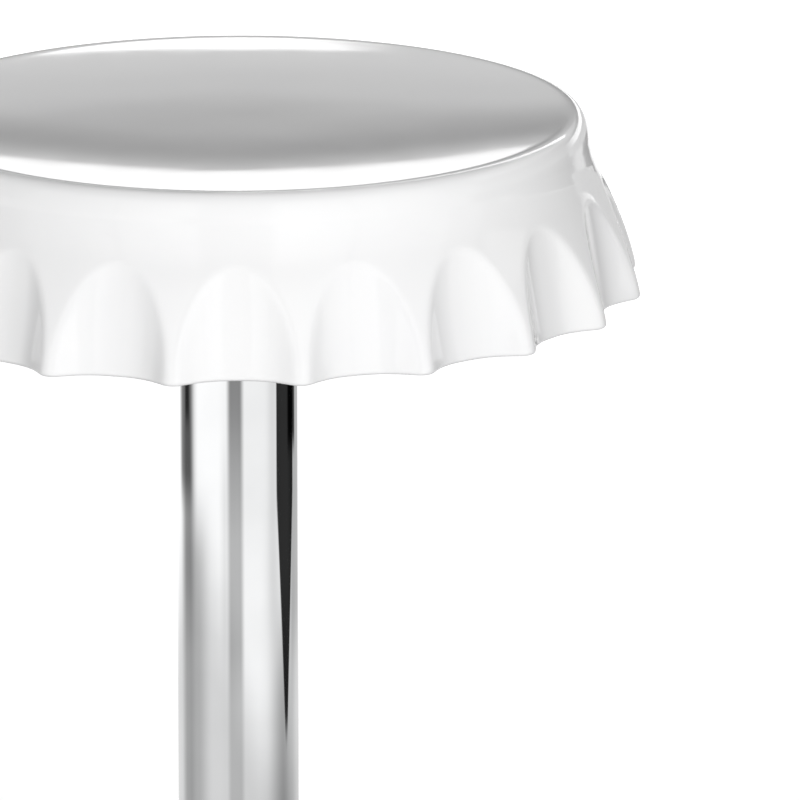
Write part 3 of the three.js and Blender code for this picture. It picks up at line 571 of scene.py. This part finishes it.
def make_lever_arm():
    """The lever: its eye on the pin, the bar out to the grip, and the stub and pad that press the valve."""
    bore = PIN_RADIUS + FIT_GAP
    reach = bore + EYE_WALL * EYE_SINK_SHARE
    section = circle(LEVER_RADIUS, SMALL_SIDES)
    bar = swept(lever_path(lever_pin.y + reach), section)
    stub = swept([Vector((0, y, lever_pin.z)) for y in (0, lever_pin.y - reach)], section)
    side, top = PAD_WIDTH / 2, LEVER_RADIUS
    corners = [(side, -top), (side, top), (-side, top), (-side, -top)]
    back, front = low["lever_arm"].y, lever_pin.y / 2
    pad = swept([Vector((0, y, lever_pin.z)) for y in (back, front)], rounded(corners, PAD_EDGE))
    eye_radius = bore + EYE_WALL
    half = EYE_LENGTH / 2
    eye_outline = rounded([(bore, -half), (eye_radius, -half), (eye_radius, half), (bore, half)], TUBE_EDGE)
    place = Matrix.Translation((0, lever_pin.y, lever_pin.z)) @ ALONG_X
    eye = moved(turned(eye_outline, SMALL_SIDES), place)
    new_piece("lever_bar", merged(bar, stub, pad, eye), "lever", "zinc_steel", "lever_arm")


def make_lever_grip():
    start, end = low["lever_grip"].y, high["lever_grip"].y
    centre_z = lever_pin.z - LEVER_DROP
    radius = high["lever_grip"].z - centre_z
    bore, bore_end = LEVER_RADIUS + FIT_GAP, high["lever_arm"].y + FIT_GAP
    taper = GRIP_TAPER_SHARE * (end - start)
    corners = [
        (bore, bore_end),
        (bore, start),
        (GRIP_END_SHARE * radius, start),
        (radius, start + taper),
    ]
    groove_start, groove_end = start + taper * GRIP_PLAIN_SHARE, end - taper * GRIP_PLAIN_SHARE
    steps = GRIP_GROOVE_COUNT * GROOVE_STEPS
    for step in range(steps + 1):
        share = step / steps
        wave = (1 - math.cos(2 * math.pi * share * GRIP_GROOVE_COUNT)) / 2
        corners.append((radius - GRIP_GROOVE * wave, groove_start + (groove_end - groove_start) * share))
    corners += [(radius, end - taper), (GRIP_END_SHARE * radius, end), (GRIP_END_SHARE * radius / 2, end)]
    grip = capped(rounded(corners, GRIP_END, closed=False), SMALL_SIDES)
    flat = Matrix.Diagonal((1 / GRIP_FLAT_SHARE, 1, 1, 1))
    place = Matrix.Translation((0, 0, centre_z)) @ flat @ ALONG_Y
    new_piece("lever_handle", moved(grip, place), "lever", "black_plastic", "lever_grip")


# Materials
NOISE_LOW_SHARE = 0.3
NOISE_HIGH_SHARE = 0.7
DRAWN_UPRIGHT_SHARES = (1, 1, 0.05)
GRAIN_SHARES = (0.06, 1, 1)


class Shader:
    """A material's node tree round its Principled shader, read in object coordinates."""

    def __init__(self, name, color, metallic=0.0, roughness=0.5):
        self.material = bpy.data.materials.new(name)
        self.material.use_nodes = True
        self.tree = self.material.node_tree
        self.surface = self.tree.nodes["Principled BSDF"]
        self.place = self.tree.nodes.new("ShaderNodeTexCoord").outputs["Object"]
        self.surface.inputs["Base Color"].default_value = (*color, 1)
        self.surface.inputs["Metallic"].default_value = metallic
        self.surface.inputs["Roughness"].default_value = roughness

    def set(self, socket, value):
        self.tree.links.new(value, self.surface.inputs[socket])

    def noise(self, scale, stretch=(1, 1, 1), detail=3):
        """Noise with about scale features a metre, drawn out along an axis whose stretch is small."""
        mapping = self.tree.nodes.new("ShaderNodeMapping")
        mapping.inputs["Scale"].default_value = stretch
        self.tree.links.new(self.place, mapping.inputs["Vector"])
        noise = self.tree.nodes.new("ShaderNodeTexNoise")
        noise.inputs["Scale"].default_value = scale
        noise.inputs["Detail"].default_value = detail
        self.tree.links.new(mapping.outputs["Vector"], noise.inputs["Vector"])
        return noise.outputs["Fac"]

    def tint(self, noise, *colors, low=NOISE_LOW_SHARE, high=NOISE_HIGH_SHARE):
        """The base colour: colours that lie evenly along a noise, from low to high."""
        ramp = self.tree.nodes.new("ShaderNodeValToRGB")
        elements = ramp.color_ramp.elements
        while len(elements) < len(colors):
            elements.new(0.5)
        for i, (element, color) in enumerate(zip(elements, colors)):
            element.position = low + (high - low) * i / (len(colors) - 1)
            element.color = (*color, 1)
        self.tree.links.new(noise, ramp.inputs["Fac"])
        self.set("Base Color", ramp.outputs["Color"])

    def roughen(self, noise, smoothest, roughest):
        """The roughness follows a noise, which stays near its middle and is spread."""
        spread = self.tree.nodes.new("ShaderNodeMapRange")
        spread.inputs["From Min"].default_value = NOISE_LOW_SHARE
        spread.inputs["From Max"].default_value = NOISE_HIGH_SHARE
        spread.inputs["To Min"].default_value = smoothest
        spread.inputs["To Max"].default_value = roughest
        self.tree.links.new(noise, spread.inputs["Value"])
        self.set("Roughness", spread.outputs["Result"])

    def bump(self, *layers):
        """Bumps from (height, distance, strength) layers, one over the other."""
        normal = None
        for height, distance, strength in layers:
            node = self.tree.nodes.new("ShaderNodeBump")
            node.inputs["Distance"].default_value = distance
            node.inputs["Strength"].default_value = strength
            self.tree.links.new(height, node.inputs["Height"])
            if normal:
                self.tree.links.new(normal, node.inputs["Normal"])
            normal = node.outputs["Normal"]
        self.set("Normal", normal)


def white_plastic():
    shader = Shader("glossy_white_plastic", (0.86, 0.86, 0.86), roughness=0.05)
    shader.tint(shader.noise(14), (0.85, 0.85, 0.855), (0.875, 0.875, 0.875))
    shader.roughen(shader.noise(60, detail=6), 0.035, 0.07)
    shader.bump((shader.noise(16, detail=1), 1 * MM, 0.1), (shader.noise(900), 0.2 * MM, 0.02))
    return shader.material


def chrome():
    shader = Shader("polished_chrome", (0.78, 0.785, 0.79), metallic=1, roughness=0.04)
    shader.tint(shader.noise(30), (0.76, 0.765, 0.77), (0.8, 0.805, 0.81))
    shader.roughen(shader.noise(260, DRAWN_UPRIGHT_SHARES, detail=5), 0.025, 0.06)
    shader.bump((shader.noise(120, DRAWN_UPRIGHT_SHARES), 0.5 * MM, 0.02))
    return shader.material


def zinc_steel():
    shader = Shader("zinc_plate", (0.6, 0.61, 0.62), metallic=1, roughness=0.35)
    shader.tint(shader.noise(140), (0.52, 0.53, 0.55), (0.66, 0.65, 0.6))
    shader.roughen(shader.noise(500, detail=6), 0.28, 0.45)
    shader.bump((shader.noise(1200), 0.2 * MM, 0.1))
    return shader.material


def black_steel():
    shader = Shader("powder_coat", (0.02, 0.02, 0.022), roughness=0.5)
    shader.tint(shader.noise(40), (0.016, 0.016, 0.018), (0.03, 0.03, 0.032))
    shader.roughen(shader.noise(300, detail=5), 0.42, 0.6)
    shader.bump((shader.noise(900, detail=2), 0.4 * MM, 0.25))
    return shader.material


def cast_iron():
    shader = Shader("painted_iron", (0.05, 0.05, 0.052), roughness=0.75)
    shader.tint(shader.noise(60, detail=8), (0.03, 0.03, 0.032), (0.075, 0.07, 0.066))
    shader.roughen(shader.noise(200), 0.6, 0.9)
    shader.bump((shader.noise(350, detail=6), 1.2 * MM, 0.5))
    return shader.material


def black_plastic():
    shader = Shader("black_nylon", (0.018, 0.018, 0.019), roughness=0.4)
    shader.tint(shader.noise(50), (0.014, 0.014, 0.015), (0.024, 0.024, 0.026))
    shader.roughen(shader.noise(400, detail=4), 0.34, 0.5)
    shader.bump((shader.noise(1600, detail=1), 0.2 * MM, 0.2))
    return shader.material


def rubber():
    shader = Shader("black_rubber", (0.02, 0.02, 0.02), roughness=0.85)
    shader.tint(shader.noise(90, detail=8), (0.014, 0.014, 0.014), (0.035, 0.034, 0.033), high=0.75)
    shader.roughen(shader.noise(300), 0.75, 0.95)
    shader.bump((shader.noise(700, detail=4), 0.5 * MM, 0.3))
    return shader.material


def plywood():
    shader = Shader("birch_plywood", (0.6, 0.42, 0.24), roughness=0.6)
    grain = shader.noise(60, GRAIN_SHARES, detail=6)
    shader.tint(grain, (0.36, 0.22, 0.11), (0.58, 0.41, 0.23), (0.7, 0.52, 0.32), low=0.25, high=0.75)
    shader.roughen(grain, 0.5, 0.75)
    shader.bump((grain, 0.4 * MM, 0.4))
    return shader.material


FINISHES = {
    "seat_white": white_plastic,
    "chrome": chrome,
    "zinc_steel": zinc_steel,
    "black_steel": black_steel,
    "cast_iron": cast_iron,
    "black_plastic": black_plastic,
    "rubber": rubber,
    "plywood": plywood,
}


def smooth_by_angle():
    """A node group that shades a mesh smooth except over edges sharper than SMOOTH_BELOW."""
    group = bpy.data.node_groups.new("smooth_by_angle", "GeometryNodeTree")
    group.interface.new_socket("Geometry", in_out="INPUT", socket_type="NodeSocketGeometry")
    group.interface.new_socket("Geometry", in_out="OUTPUT", socket_type="NodeSocketGeometry")
    start = group.nodes.new("NodeGroupInput")
    end = group.nodes.new("NodeGroupOutput")
    angle = group.nodes.new("GeometryNodeInputMeshEdgeAngle")
    blunt = group.nodes.new("FunctionNodeCompare")
    blunt.operation = "LESS_EQUAL"
    blunt.inputs["B"].default_value = SMOOTH_BELOW
    edges = group.nodes.new("GeometryNodeSetShadeSmooth")
    edges.domain = "EDGE"
    faces = group.nodes.new("GeometryNodeSetShadeSmooth")
    faces.domain = "FACE"
    group.links.new(angle.outputs["Unsigned Angle"], blunt.inputs["A"])
    group.links.new(blunt.outputs["Result"], edges.inputs["Shade Smooth"])
    group.links.new(start.outputs[0], edges.inputs["Geometry"])
    group.links.new(edges.outputs[0], faces.inputs["Geometry"])
    group.links.new(faces.outputs[0], end.inputs[0])
    return group


def dress_cad_nodes():
    """Every CAD node gets its slot's material, eased edges and smooth rounds."""
    smoothing = smooth_by_angle()
    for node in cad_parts.values():
        slot = node.data.materials[0].name
        node.material_slots[0].link = "OBJECT"
        node.material_slots[0].material = materials[slot]
        joined = node.modifiers.new("joined_corners", "WELD")
        joined.merge_threshold = JOIN_REACH
        edge = node.modifiers.new("eased_edges", "BEVEL")
        edge.width = BEVEL_WIDTH
        edge.segments = BEVEL_STEPS
        edge.limit_method = "ANGLE"
        edge.angle_limit = SMOOTH_BELOW
        node.modifiers.new("smooth_rounds", "NODES").node_group = smoothing
        flats = node.modifiers.new("flat_flats", "WEIGHTED_NORMAL")
        flats.keep_sharp = True


# Studio
FLOOR_REACH = 150.0
FLOOR_COLOR = (0.8, 0.8, 0.8, 1)
FLOOR_ROUGHNESS = 0.9
FLOOR_GLOW_SHARE = 0.52
CARD_INNER = 0.23
CARD_OUTER = 40.0
CARD_LIFT = 1 * MM
BACKDROP_REACH = 20.0
BACKDROP_GLOW = 1.0
WALL_REACH = 4.0
WALL_HEIGHT = 0.7
WALL_GLOW = 0.7

# Below, a change is (start, end, first, last): first before the start and last after the end

# The floor card glows brighter outwards. It changes with the distance from the axis
CARD_SLANT_SHARE = 0.2
CARD_LIGHT = (1.03, 1.42, 0.83, 1.25)

# Soft shades on the card: where, half how wide and how soft, in degrees round from the front,
# and then the changes that add up to how deep each is
CARD_SHADES = (
    (-4.0, 13.5, 5.5, (1.12, 1.3, 0.3, 0.52), (1.5, 1.95, 0.0, 0.24)),
    (-24.0, 5.0, 9.0, (1.6, 1.9, 0.22, 0.05), (1.15, 1.4, -0.18, 0.0)),
    (30.0, 22.0, 9.0, (1.2, 1.8, 0.06, 0.13)),
    (95.0, 28.0, 30.0, (1.12, 1.5, 0.62, 0.1)),
    (70.0, 14.0, 14.0, (1.2, 1.45, 0.0, 0.25)),
    (142.0, 24.0, 11.0, (1.0, 1.4, 0.15, 0.55), (1.92, 2.1, 0.0, -0.35)),
    (125.0, 14.0, 4.0, (1.69, 1.77, 0.0, 0.94)),
    (-108.0, 17.0, 13.0, (1.2, 1.5, 0.45, 0.68)),
    (-80.0, 14.0, 18.0, (1.45, 1.66, 0.36, 0.0)),
    (-115.0, 19.0, 8.0, (1.55, 1.68, 0.0, 0.7)),
    (-110.0, 6.0, 3.0, (1.77, 1.84, 0.0, 0.8)),
    (157.0, 6.0, 2.5, (1.95, 2.15, 0.0, 0.85)),
)

# One dark flag on the card widens with the distance, in degrees a metre
FLAG_TURN = 104.5
FLAG_SOFTNESS = 1.5
FLAG_START = 1.0
FLAG_WIDENING = 40.0
FLAG_WIDEST = 25.0
FLAG_DEPTH = (1.04, 1.12, 0.0, 0.97)

# The sky changes with the height of a direction, from 0 at the horizon to 1 overhead,
# or with its turn in degrees

# Behind the stool: a bright horizon and a grey band that lightens upwards.
# The edge goes by how far back a direction points, up to 1
BEHIND_HEIGHTS = (
    (0.156, 0.165, 2.1, 0.62),
    (0.168, 0.202, 0.0, -0.47),
    (0.205, 0.265, 0.0, 0.7),
    (0.265, 0.34, 0.0, 0.3),
    (0.4, 0.45, 0.0, -1.0),
)
BEHIND_EDGE = (0.7, 0.85, 0.0, 1.0)

# Also behind the stool: a softbox
SOFTBOX_GLOW = 3.2
SOFTBOX_TURNS = ((-0.4, -0.28, 0.0, 1.0), (24.5, 25.5, 1.0, 0.0))
SOFTBOX_HEIGHTS = ((0.35, 0.355, 0.0, 1.0), (0.58, 0.6, 1.0, 0.0))

# Ahead and to the sides: two panels, each with a dark seam, in a dim room
PANEL_GLOW = 0.75
PANEL_TURNS = ((11.0, 13.0, 0.0, 1.0), (71.0, 73.0, 1.0, 0.5), (83.0, 86.0, 1.0, 0.0))
PANEL_SEAM = (39.0, 0.6, 0.4, 1.0)
SIDE_GLOW = 0.7
SIDE_TURNS = ((86.0, 90.0, 0.0, 1.0),)
SIDE_HEIGHTS = ((0.3, 0.36, 0.0, 1.0),)
ROOM_GLOW = 0.18
ROOM_HEIGHTS = ((0.58, 0.68, 1.0, 0.0),)
CEILING_GLOW = 0.1

# Below the horizon the floor throws a little light back
BOUNCE_GLOW = 0.18
HORIZON = (-0.06, -0.03)

# Lamps round the stool: name, turn from the front towards +X in degrees, and brightness
LAMPS = (
    ("key_softbox", 14, 14.5),
    ("left_softbox", -60, 1.6),
    ("left_fill_softbox", -125, 8),
    ("back_fill_softbox", 165, 9),
)
LAMP_RISE = math.radians(1)
LAMP_DISTANCE = 5.0
LAMP_WIDTH = 2.5
LAMP_HEIGHT = 1.5


class Glow:
    """Nodes that work out how bright the world or the floor card is."""

    def __init__(self, tree):
        self.tree = tree

    def node(self, kind, **settings):
        made = self.tree.nodes.new(kind)
        for name, value in settings.items():
            setattr(made, name, value)
        return made

    def feed(self, socket, value):
        if isinstance(value, bpy.types.NodeSocket):
            self.tree.links.new(value, socket)
        else:
            socket.default_value = value

    def place(self, coordinates):
        """X, Y and Z of a point on a surface, or of a direction in the world."""
        split = self.node("ShaderNodeSeparateXYZ")
        self.feed(split.inputs[0], self.node("ShaderNodeTexCoord").outputs[coordinates])
        return split.outputs["X"], split.outputs["Y"], split.outputs["Z"]

    def math(self, operation, a, b=0.0):
        made = self.node("ShaderNodeMath", operation=operation)
        self.feed(made.inputs[0], a)
        self.feed(made.inputs[1], b)
        return made.outputs[0]

    def distance(self, x, y):
        squares = self.math("ADD", self.math("MULTIPLY", x, x), self.math("MULTIPLY", y, y))
        return self.math("SQRT", squares)

    def turn_from_back(self, x, y):
        """Degrees round from +Y, the back, towards +X."""
        return self.math("DEGREES", self.math("ARCTAN2", x, y))

    def turn_from_front(self, x, y):
        """Degrees round from -Y, the front, towards +X."""
        return self.turn_from_back(x, self.math("MULTIPLY", y, -1.0))

    def between(self, value, start, end, first, last):
        """first below start, last above end, and a soft change between."""
        made = self.node("ShaderNodeMapRange", interpolation_type="SMOOTHSTEP")
        self.feed(made.inputs["Value"], value)
        for socket, amount in (("From Min", start), ("From Max", end), ("To Min", first), ("To Max", last)):
            self.feed(made.inputs[socket], amount)
        return made.outputs["Result"]

    def band(self, value, centre, half_width, soft, depth):
        """1 outside the band and 1 - depth inside it, with a soft edge."""
        away = self.math("ABSOLUTE", self.math("SUBTRACT", value, centre))
        inside = self.between(self.math("SUBTRACT", away, half_width), -soft, soft, 1.0, 0.0)
        return self.math("SUBTRACT", 1.0, self.math("MULTIPLY", inside, depth))

    def added(self, value, changes):
        """The sum of some changes along a value."""
        total = self.between(value, *changes[0])
        for change in changes[1:]:
            total = self.math("ADD", total, self.between(value, *change))
        return total

    def scaled(self, light, value, changes):
        """Light times each of some changes along a value."""
        for change in changes:
            light = self.math("MULTIPLY", light, self.between(value, *change))
        return light


def make_floor():
    """A pale floor, which dull surfaces don't see."""
    verts = [(x * FLOOR_REACH, y * FLOOR_REACH, 0) for x, y in ((-1, -1), (1, -1), (1, 1), (-1, 1))]
    floor = new_object("floor", verts, [(0, 1, 2, 3)])
    material = bpy.data.materials.new("pale_floor")
    material.use_nodes = True
    material.cycles.emission_sampling = "NONE"
    surface = material.node_tree.nodes["Principled BSDF"]
    surface.inputs["Base Color"].default_value = FLOOR_COLOR
    surface.inputs["Roughness"].default_value = FLOOR_ROUGHNESS
    surface.inputs["Specular IOR Level"].default_value = 0
    surface.inputs["Emission Color"].default_value = (1, 1, 1, 1)
    surface.inputs["Emission Strength"].default_value = FLOOR_GLOW_SHARE
    floor.data.materials.append(material)
    floor.visible_diffuse = False


def glowing(name, shape, light_of):
    """A stage piece as bright as light_of makes it, which dull surfaces don't see."""
    piece = new_object(name, *shape)
    material = bpy.data.materials.new(name)
    material.use_nodes = True
    material.cycles.emission_sampling = "NONE"
    tree = material.node_tree
    tree.nodes.remove(tree.nodes["Principled BSDF"])
    glow = Glow(tree)
    emission = glow.node("ShaderNodeEmission")
    glow.feed(emission.inputs["Strength"], light_of(glow))
    tree.links.new(emission.outputs[0], tree.nodes["Material Output"].inputs["Surface"])
    piece.data.materials.append(material)
    piece.visible_diffuse = False
    piece.visible_shadow = False
    piece.visible_transmission = False
    piece.visible_volume_scatter = False
    return piece


def ring_band(*rims):
    """A band between two circles round the axis, each a (radius, height)."""
    verts = [on_circle(radius, turn, z) for radius, z in rims for turn in turns_of(PLAIN_SIDES)]
    return verts, band_faces(len(rims), PLAIN_SIDES)


def card_light(glow):
    """The card's glow: brighter outwards, with its soft shades and its dark flag."""
    x, y, _ = glow.place("Object")
    away = glow.distance(x, y)
    turn = glow.turn_from_front(x, y)
    slanted = glow.math("ADD", away, glow.math("MULTIPLY", x, CARD_SLANT_SHARE))
    light = glow.between(slanted, *CARD_LIGHT)
    for centre, half_width, soft, *changes in CARD_SHADES:
        shade = glow.band(turn, centre, half_width, soft, glow.added(away, changes))
        light = glow.math("MULTIPLY", light, shade)
    widening = glow.math("MULTIPLY", glow.math("SUBTRACT", away, FLAG_START), FLAG_WIDENING)
    half_width = glow.math("MINIMUM", glow.math("MAXIMUM", widening, 0.0), FLAG_WIDEST)
    flag = glow.band(turn, FLAG_TURN, half_width, FLAG_SOFTNESS, glow.between(away, *FLAG_DEPTH))
    return glow.math("MULTIPLY", light, flag)


def make_floor_card():
    """What shiny things see of the floor round the stool."""
    shape = ring_band((CARD_INNER, CARD_LIFT), (CARD_OUTER, CARD_LIFT))
    card = glowing("floor_card", shape, card_light)
    card.visible_camera = False


def make_backdrop():
    """A white wall all round, far away, that only the camera sees."""
    shape = ring_band((BACKDROP_REACH, 0), (BACKDROP_REACH, BACKDROP_REACH))
    backdrop = glowing("backdrop", shape, lambda glow: BACKDROP_GLOW)
    backdrop.visible_glossy = False


def make_low_wall():
    """A low grey wall behind the stool that only shiny things see. It outlines the base's far side."""
    verts = [(x * WALL_REACH, WALL_REACH, z * WALL_HEIGHT) for x, z in ((-1, 0), (1, 0), (1, 1), (-1, 1))]
    wall = glowing("low_wall", (verts, [(0, 1, 2, 3)]), lambda glow: WALL_GLOW)
    wall.visible_camera = False


def sky_ahead(glow, aside, up):
    """The panels and the room, fading into a dim ceiling. aside is the turn from the front, either way."""
    panel = glow.scaled(PANEL_GLOW, aside, PANEL_TURNS)
    panel = glow.math("MULTIPLY", panel, glow.band(aside, *PANEL_SEAM))
    side = glow.scaled(glow.scaled(SIDE_GLOW, aside, SIDE_TURNS), up, SIDE_HEIGHTS)
    room = glow.math("ADD", glow.math("ADD", panel, side), ROOM_GLOW)
    return glow.math("ADD", glow.scaled(room, up, ROOM_HEIGHTS), CEILING_GLOW)


def sky_light(glow):
    """The world's light: panels ahead, the grey band and the softbox behind, the floor's bounce below."""
    x, y, up = glow.place("Generated")
    ahead = sky_ahead(glow, glow.math("ABSOLUTE", glow.turn_from_front(x, y)), up)
    behind = glow.added(up, BEHIND_HEIGHTS)
    back_share = glow.between(y, *BEHIND_EDGE)
    more_behind = glow.math("MULTIPLY", back_share, glow.math("SUBTRACT", behind, ahead))
    softbox = glow.scaled(SOFTBOX_GLOW, glow.turn_from_back(x, y), SOFTBOX_TURNS)
    softbox = glow.scaled(softbox, up, SOFTBOX_HEIGHTS)
    above = glow.math("ADD", glow.math("ADD", ahead, more_behind), softbox)
    light = glow.math("MULTIPLY", above, glow.between(up, *HORIZON, 0.0, 1.0))
    return glow.math("ADD", light, glow.between(up, *HORIZON, BOUNCE_GLOW, 0.0))


def make_world():
    world = bpy.data.worlds.new("studio")
    world.use_nodes = True
    bpy.context.scene.world = world
    background = world.node_tree.nodes["Background"]
    background.inputs["Color"].default_value = (1, 1, 1, 1)
    glow = Glow(world.node_tree)
    glow.feed(background.inputs["Strength"], sky_light(glow))


def make_lamp(name, azimuth, brightness):
    """A softbox that faces the seat and that shiny things don't see."""
    light = bpy.data.lights.new(name, "AREA")
    light.shape = "RECTANGLE"
    light.size, light.size_y = LAMP_WIDTH, LAMP_HEIGHT
    light.energy = brightness * math.pi * LAMP_WIDTH * LAMP_HEIGHT
    turn, level = math.radians(azimuth), math.cos(LAMP_RISE)
    away = Vector((math.sin(turn) * level, -math.cos(turn) * level, math.sin(LAMP_RISE)))
    lamp = bpy.data.objects.new(name, light)
    lamp.location = Vector((0, 0, rim_z)) + away * LAMP_DISTANCE
    lamp.rotation_euler = away.to_track_quat("Z", "Y").to_euler()
    lamp.visible_camera = False
    lamp.visible_glossy = False
    bpy.context.scene.collection.objects.link(lamp)


# Camera, at the photograph's angle
CAMERA_DISTANCE = 5.0
CAMERA_RISE = math.radians(13.33)
CAMERA_PITCH = math.radians(14.956)
CAMERA_YAW = math.radians(0.949)
CAMERA_LENS = 458.2
CAMERA_SIGHT = 4 * FLOOR_REACH


def make_camera():
    camera = bpy.data.cameras.new("camera")
    camera.lens = CAMERA_LENS
    camera.clip_end = CAMERA_SIGHT
    seen_from = Vector((0, -math.cos(CAMERA_RISE), math.sin(CAMERA_RISE))) * CAMERA_DISTANCE
    forward = Vector((
        math.sin(CAMERA_YAW) * math.cos(CAMERA_PITCH),
        math.cos(CAMERA_YAW) * math.cos(CAMERA_PITCH),
        -math.sin(CAMERA_PITCH),
    ))
    right = Vector((math.cos(CAMERA_YAW), -math.sin(CAMERA_YAW), 0))
    axes = Matrix((right, right.cross(forward), -forward)).transposed()
    holder = bpy.data.objects.new("camera", camera)
    holder.location = Vector((0, 0, rim_z)) + seen_from
    holder.rotation_euler = axes.to_euler()
    bpy.context.scene.collection.objects.link(holder)
    bpy.context.scene.camera = holder
    bpy.context.scene.view_settings.view_transform = "Standard"


materials = {slot: make() for slot, make in FINISHES.items()}
make_camera()
dress_cad_nodes()
make_seat_shell()
make_bosses()
make_column()
make_collar()
make_gas_cylinder()
make_foot_ring()
make_spokes()
make_clamp()
make_base_cover()
make_floor_ring()
make_lever_arm()
make_lever_grip()
make_floor()
make_floor_card()
make_backdrop()
make_low_wall()
make_world()
for lamp in LAMPS:
    make_lamp(*lamp)
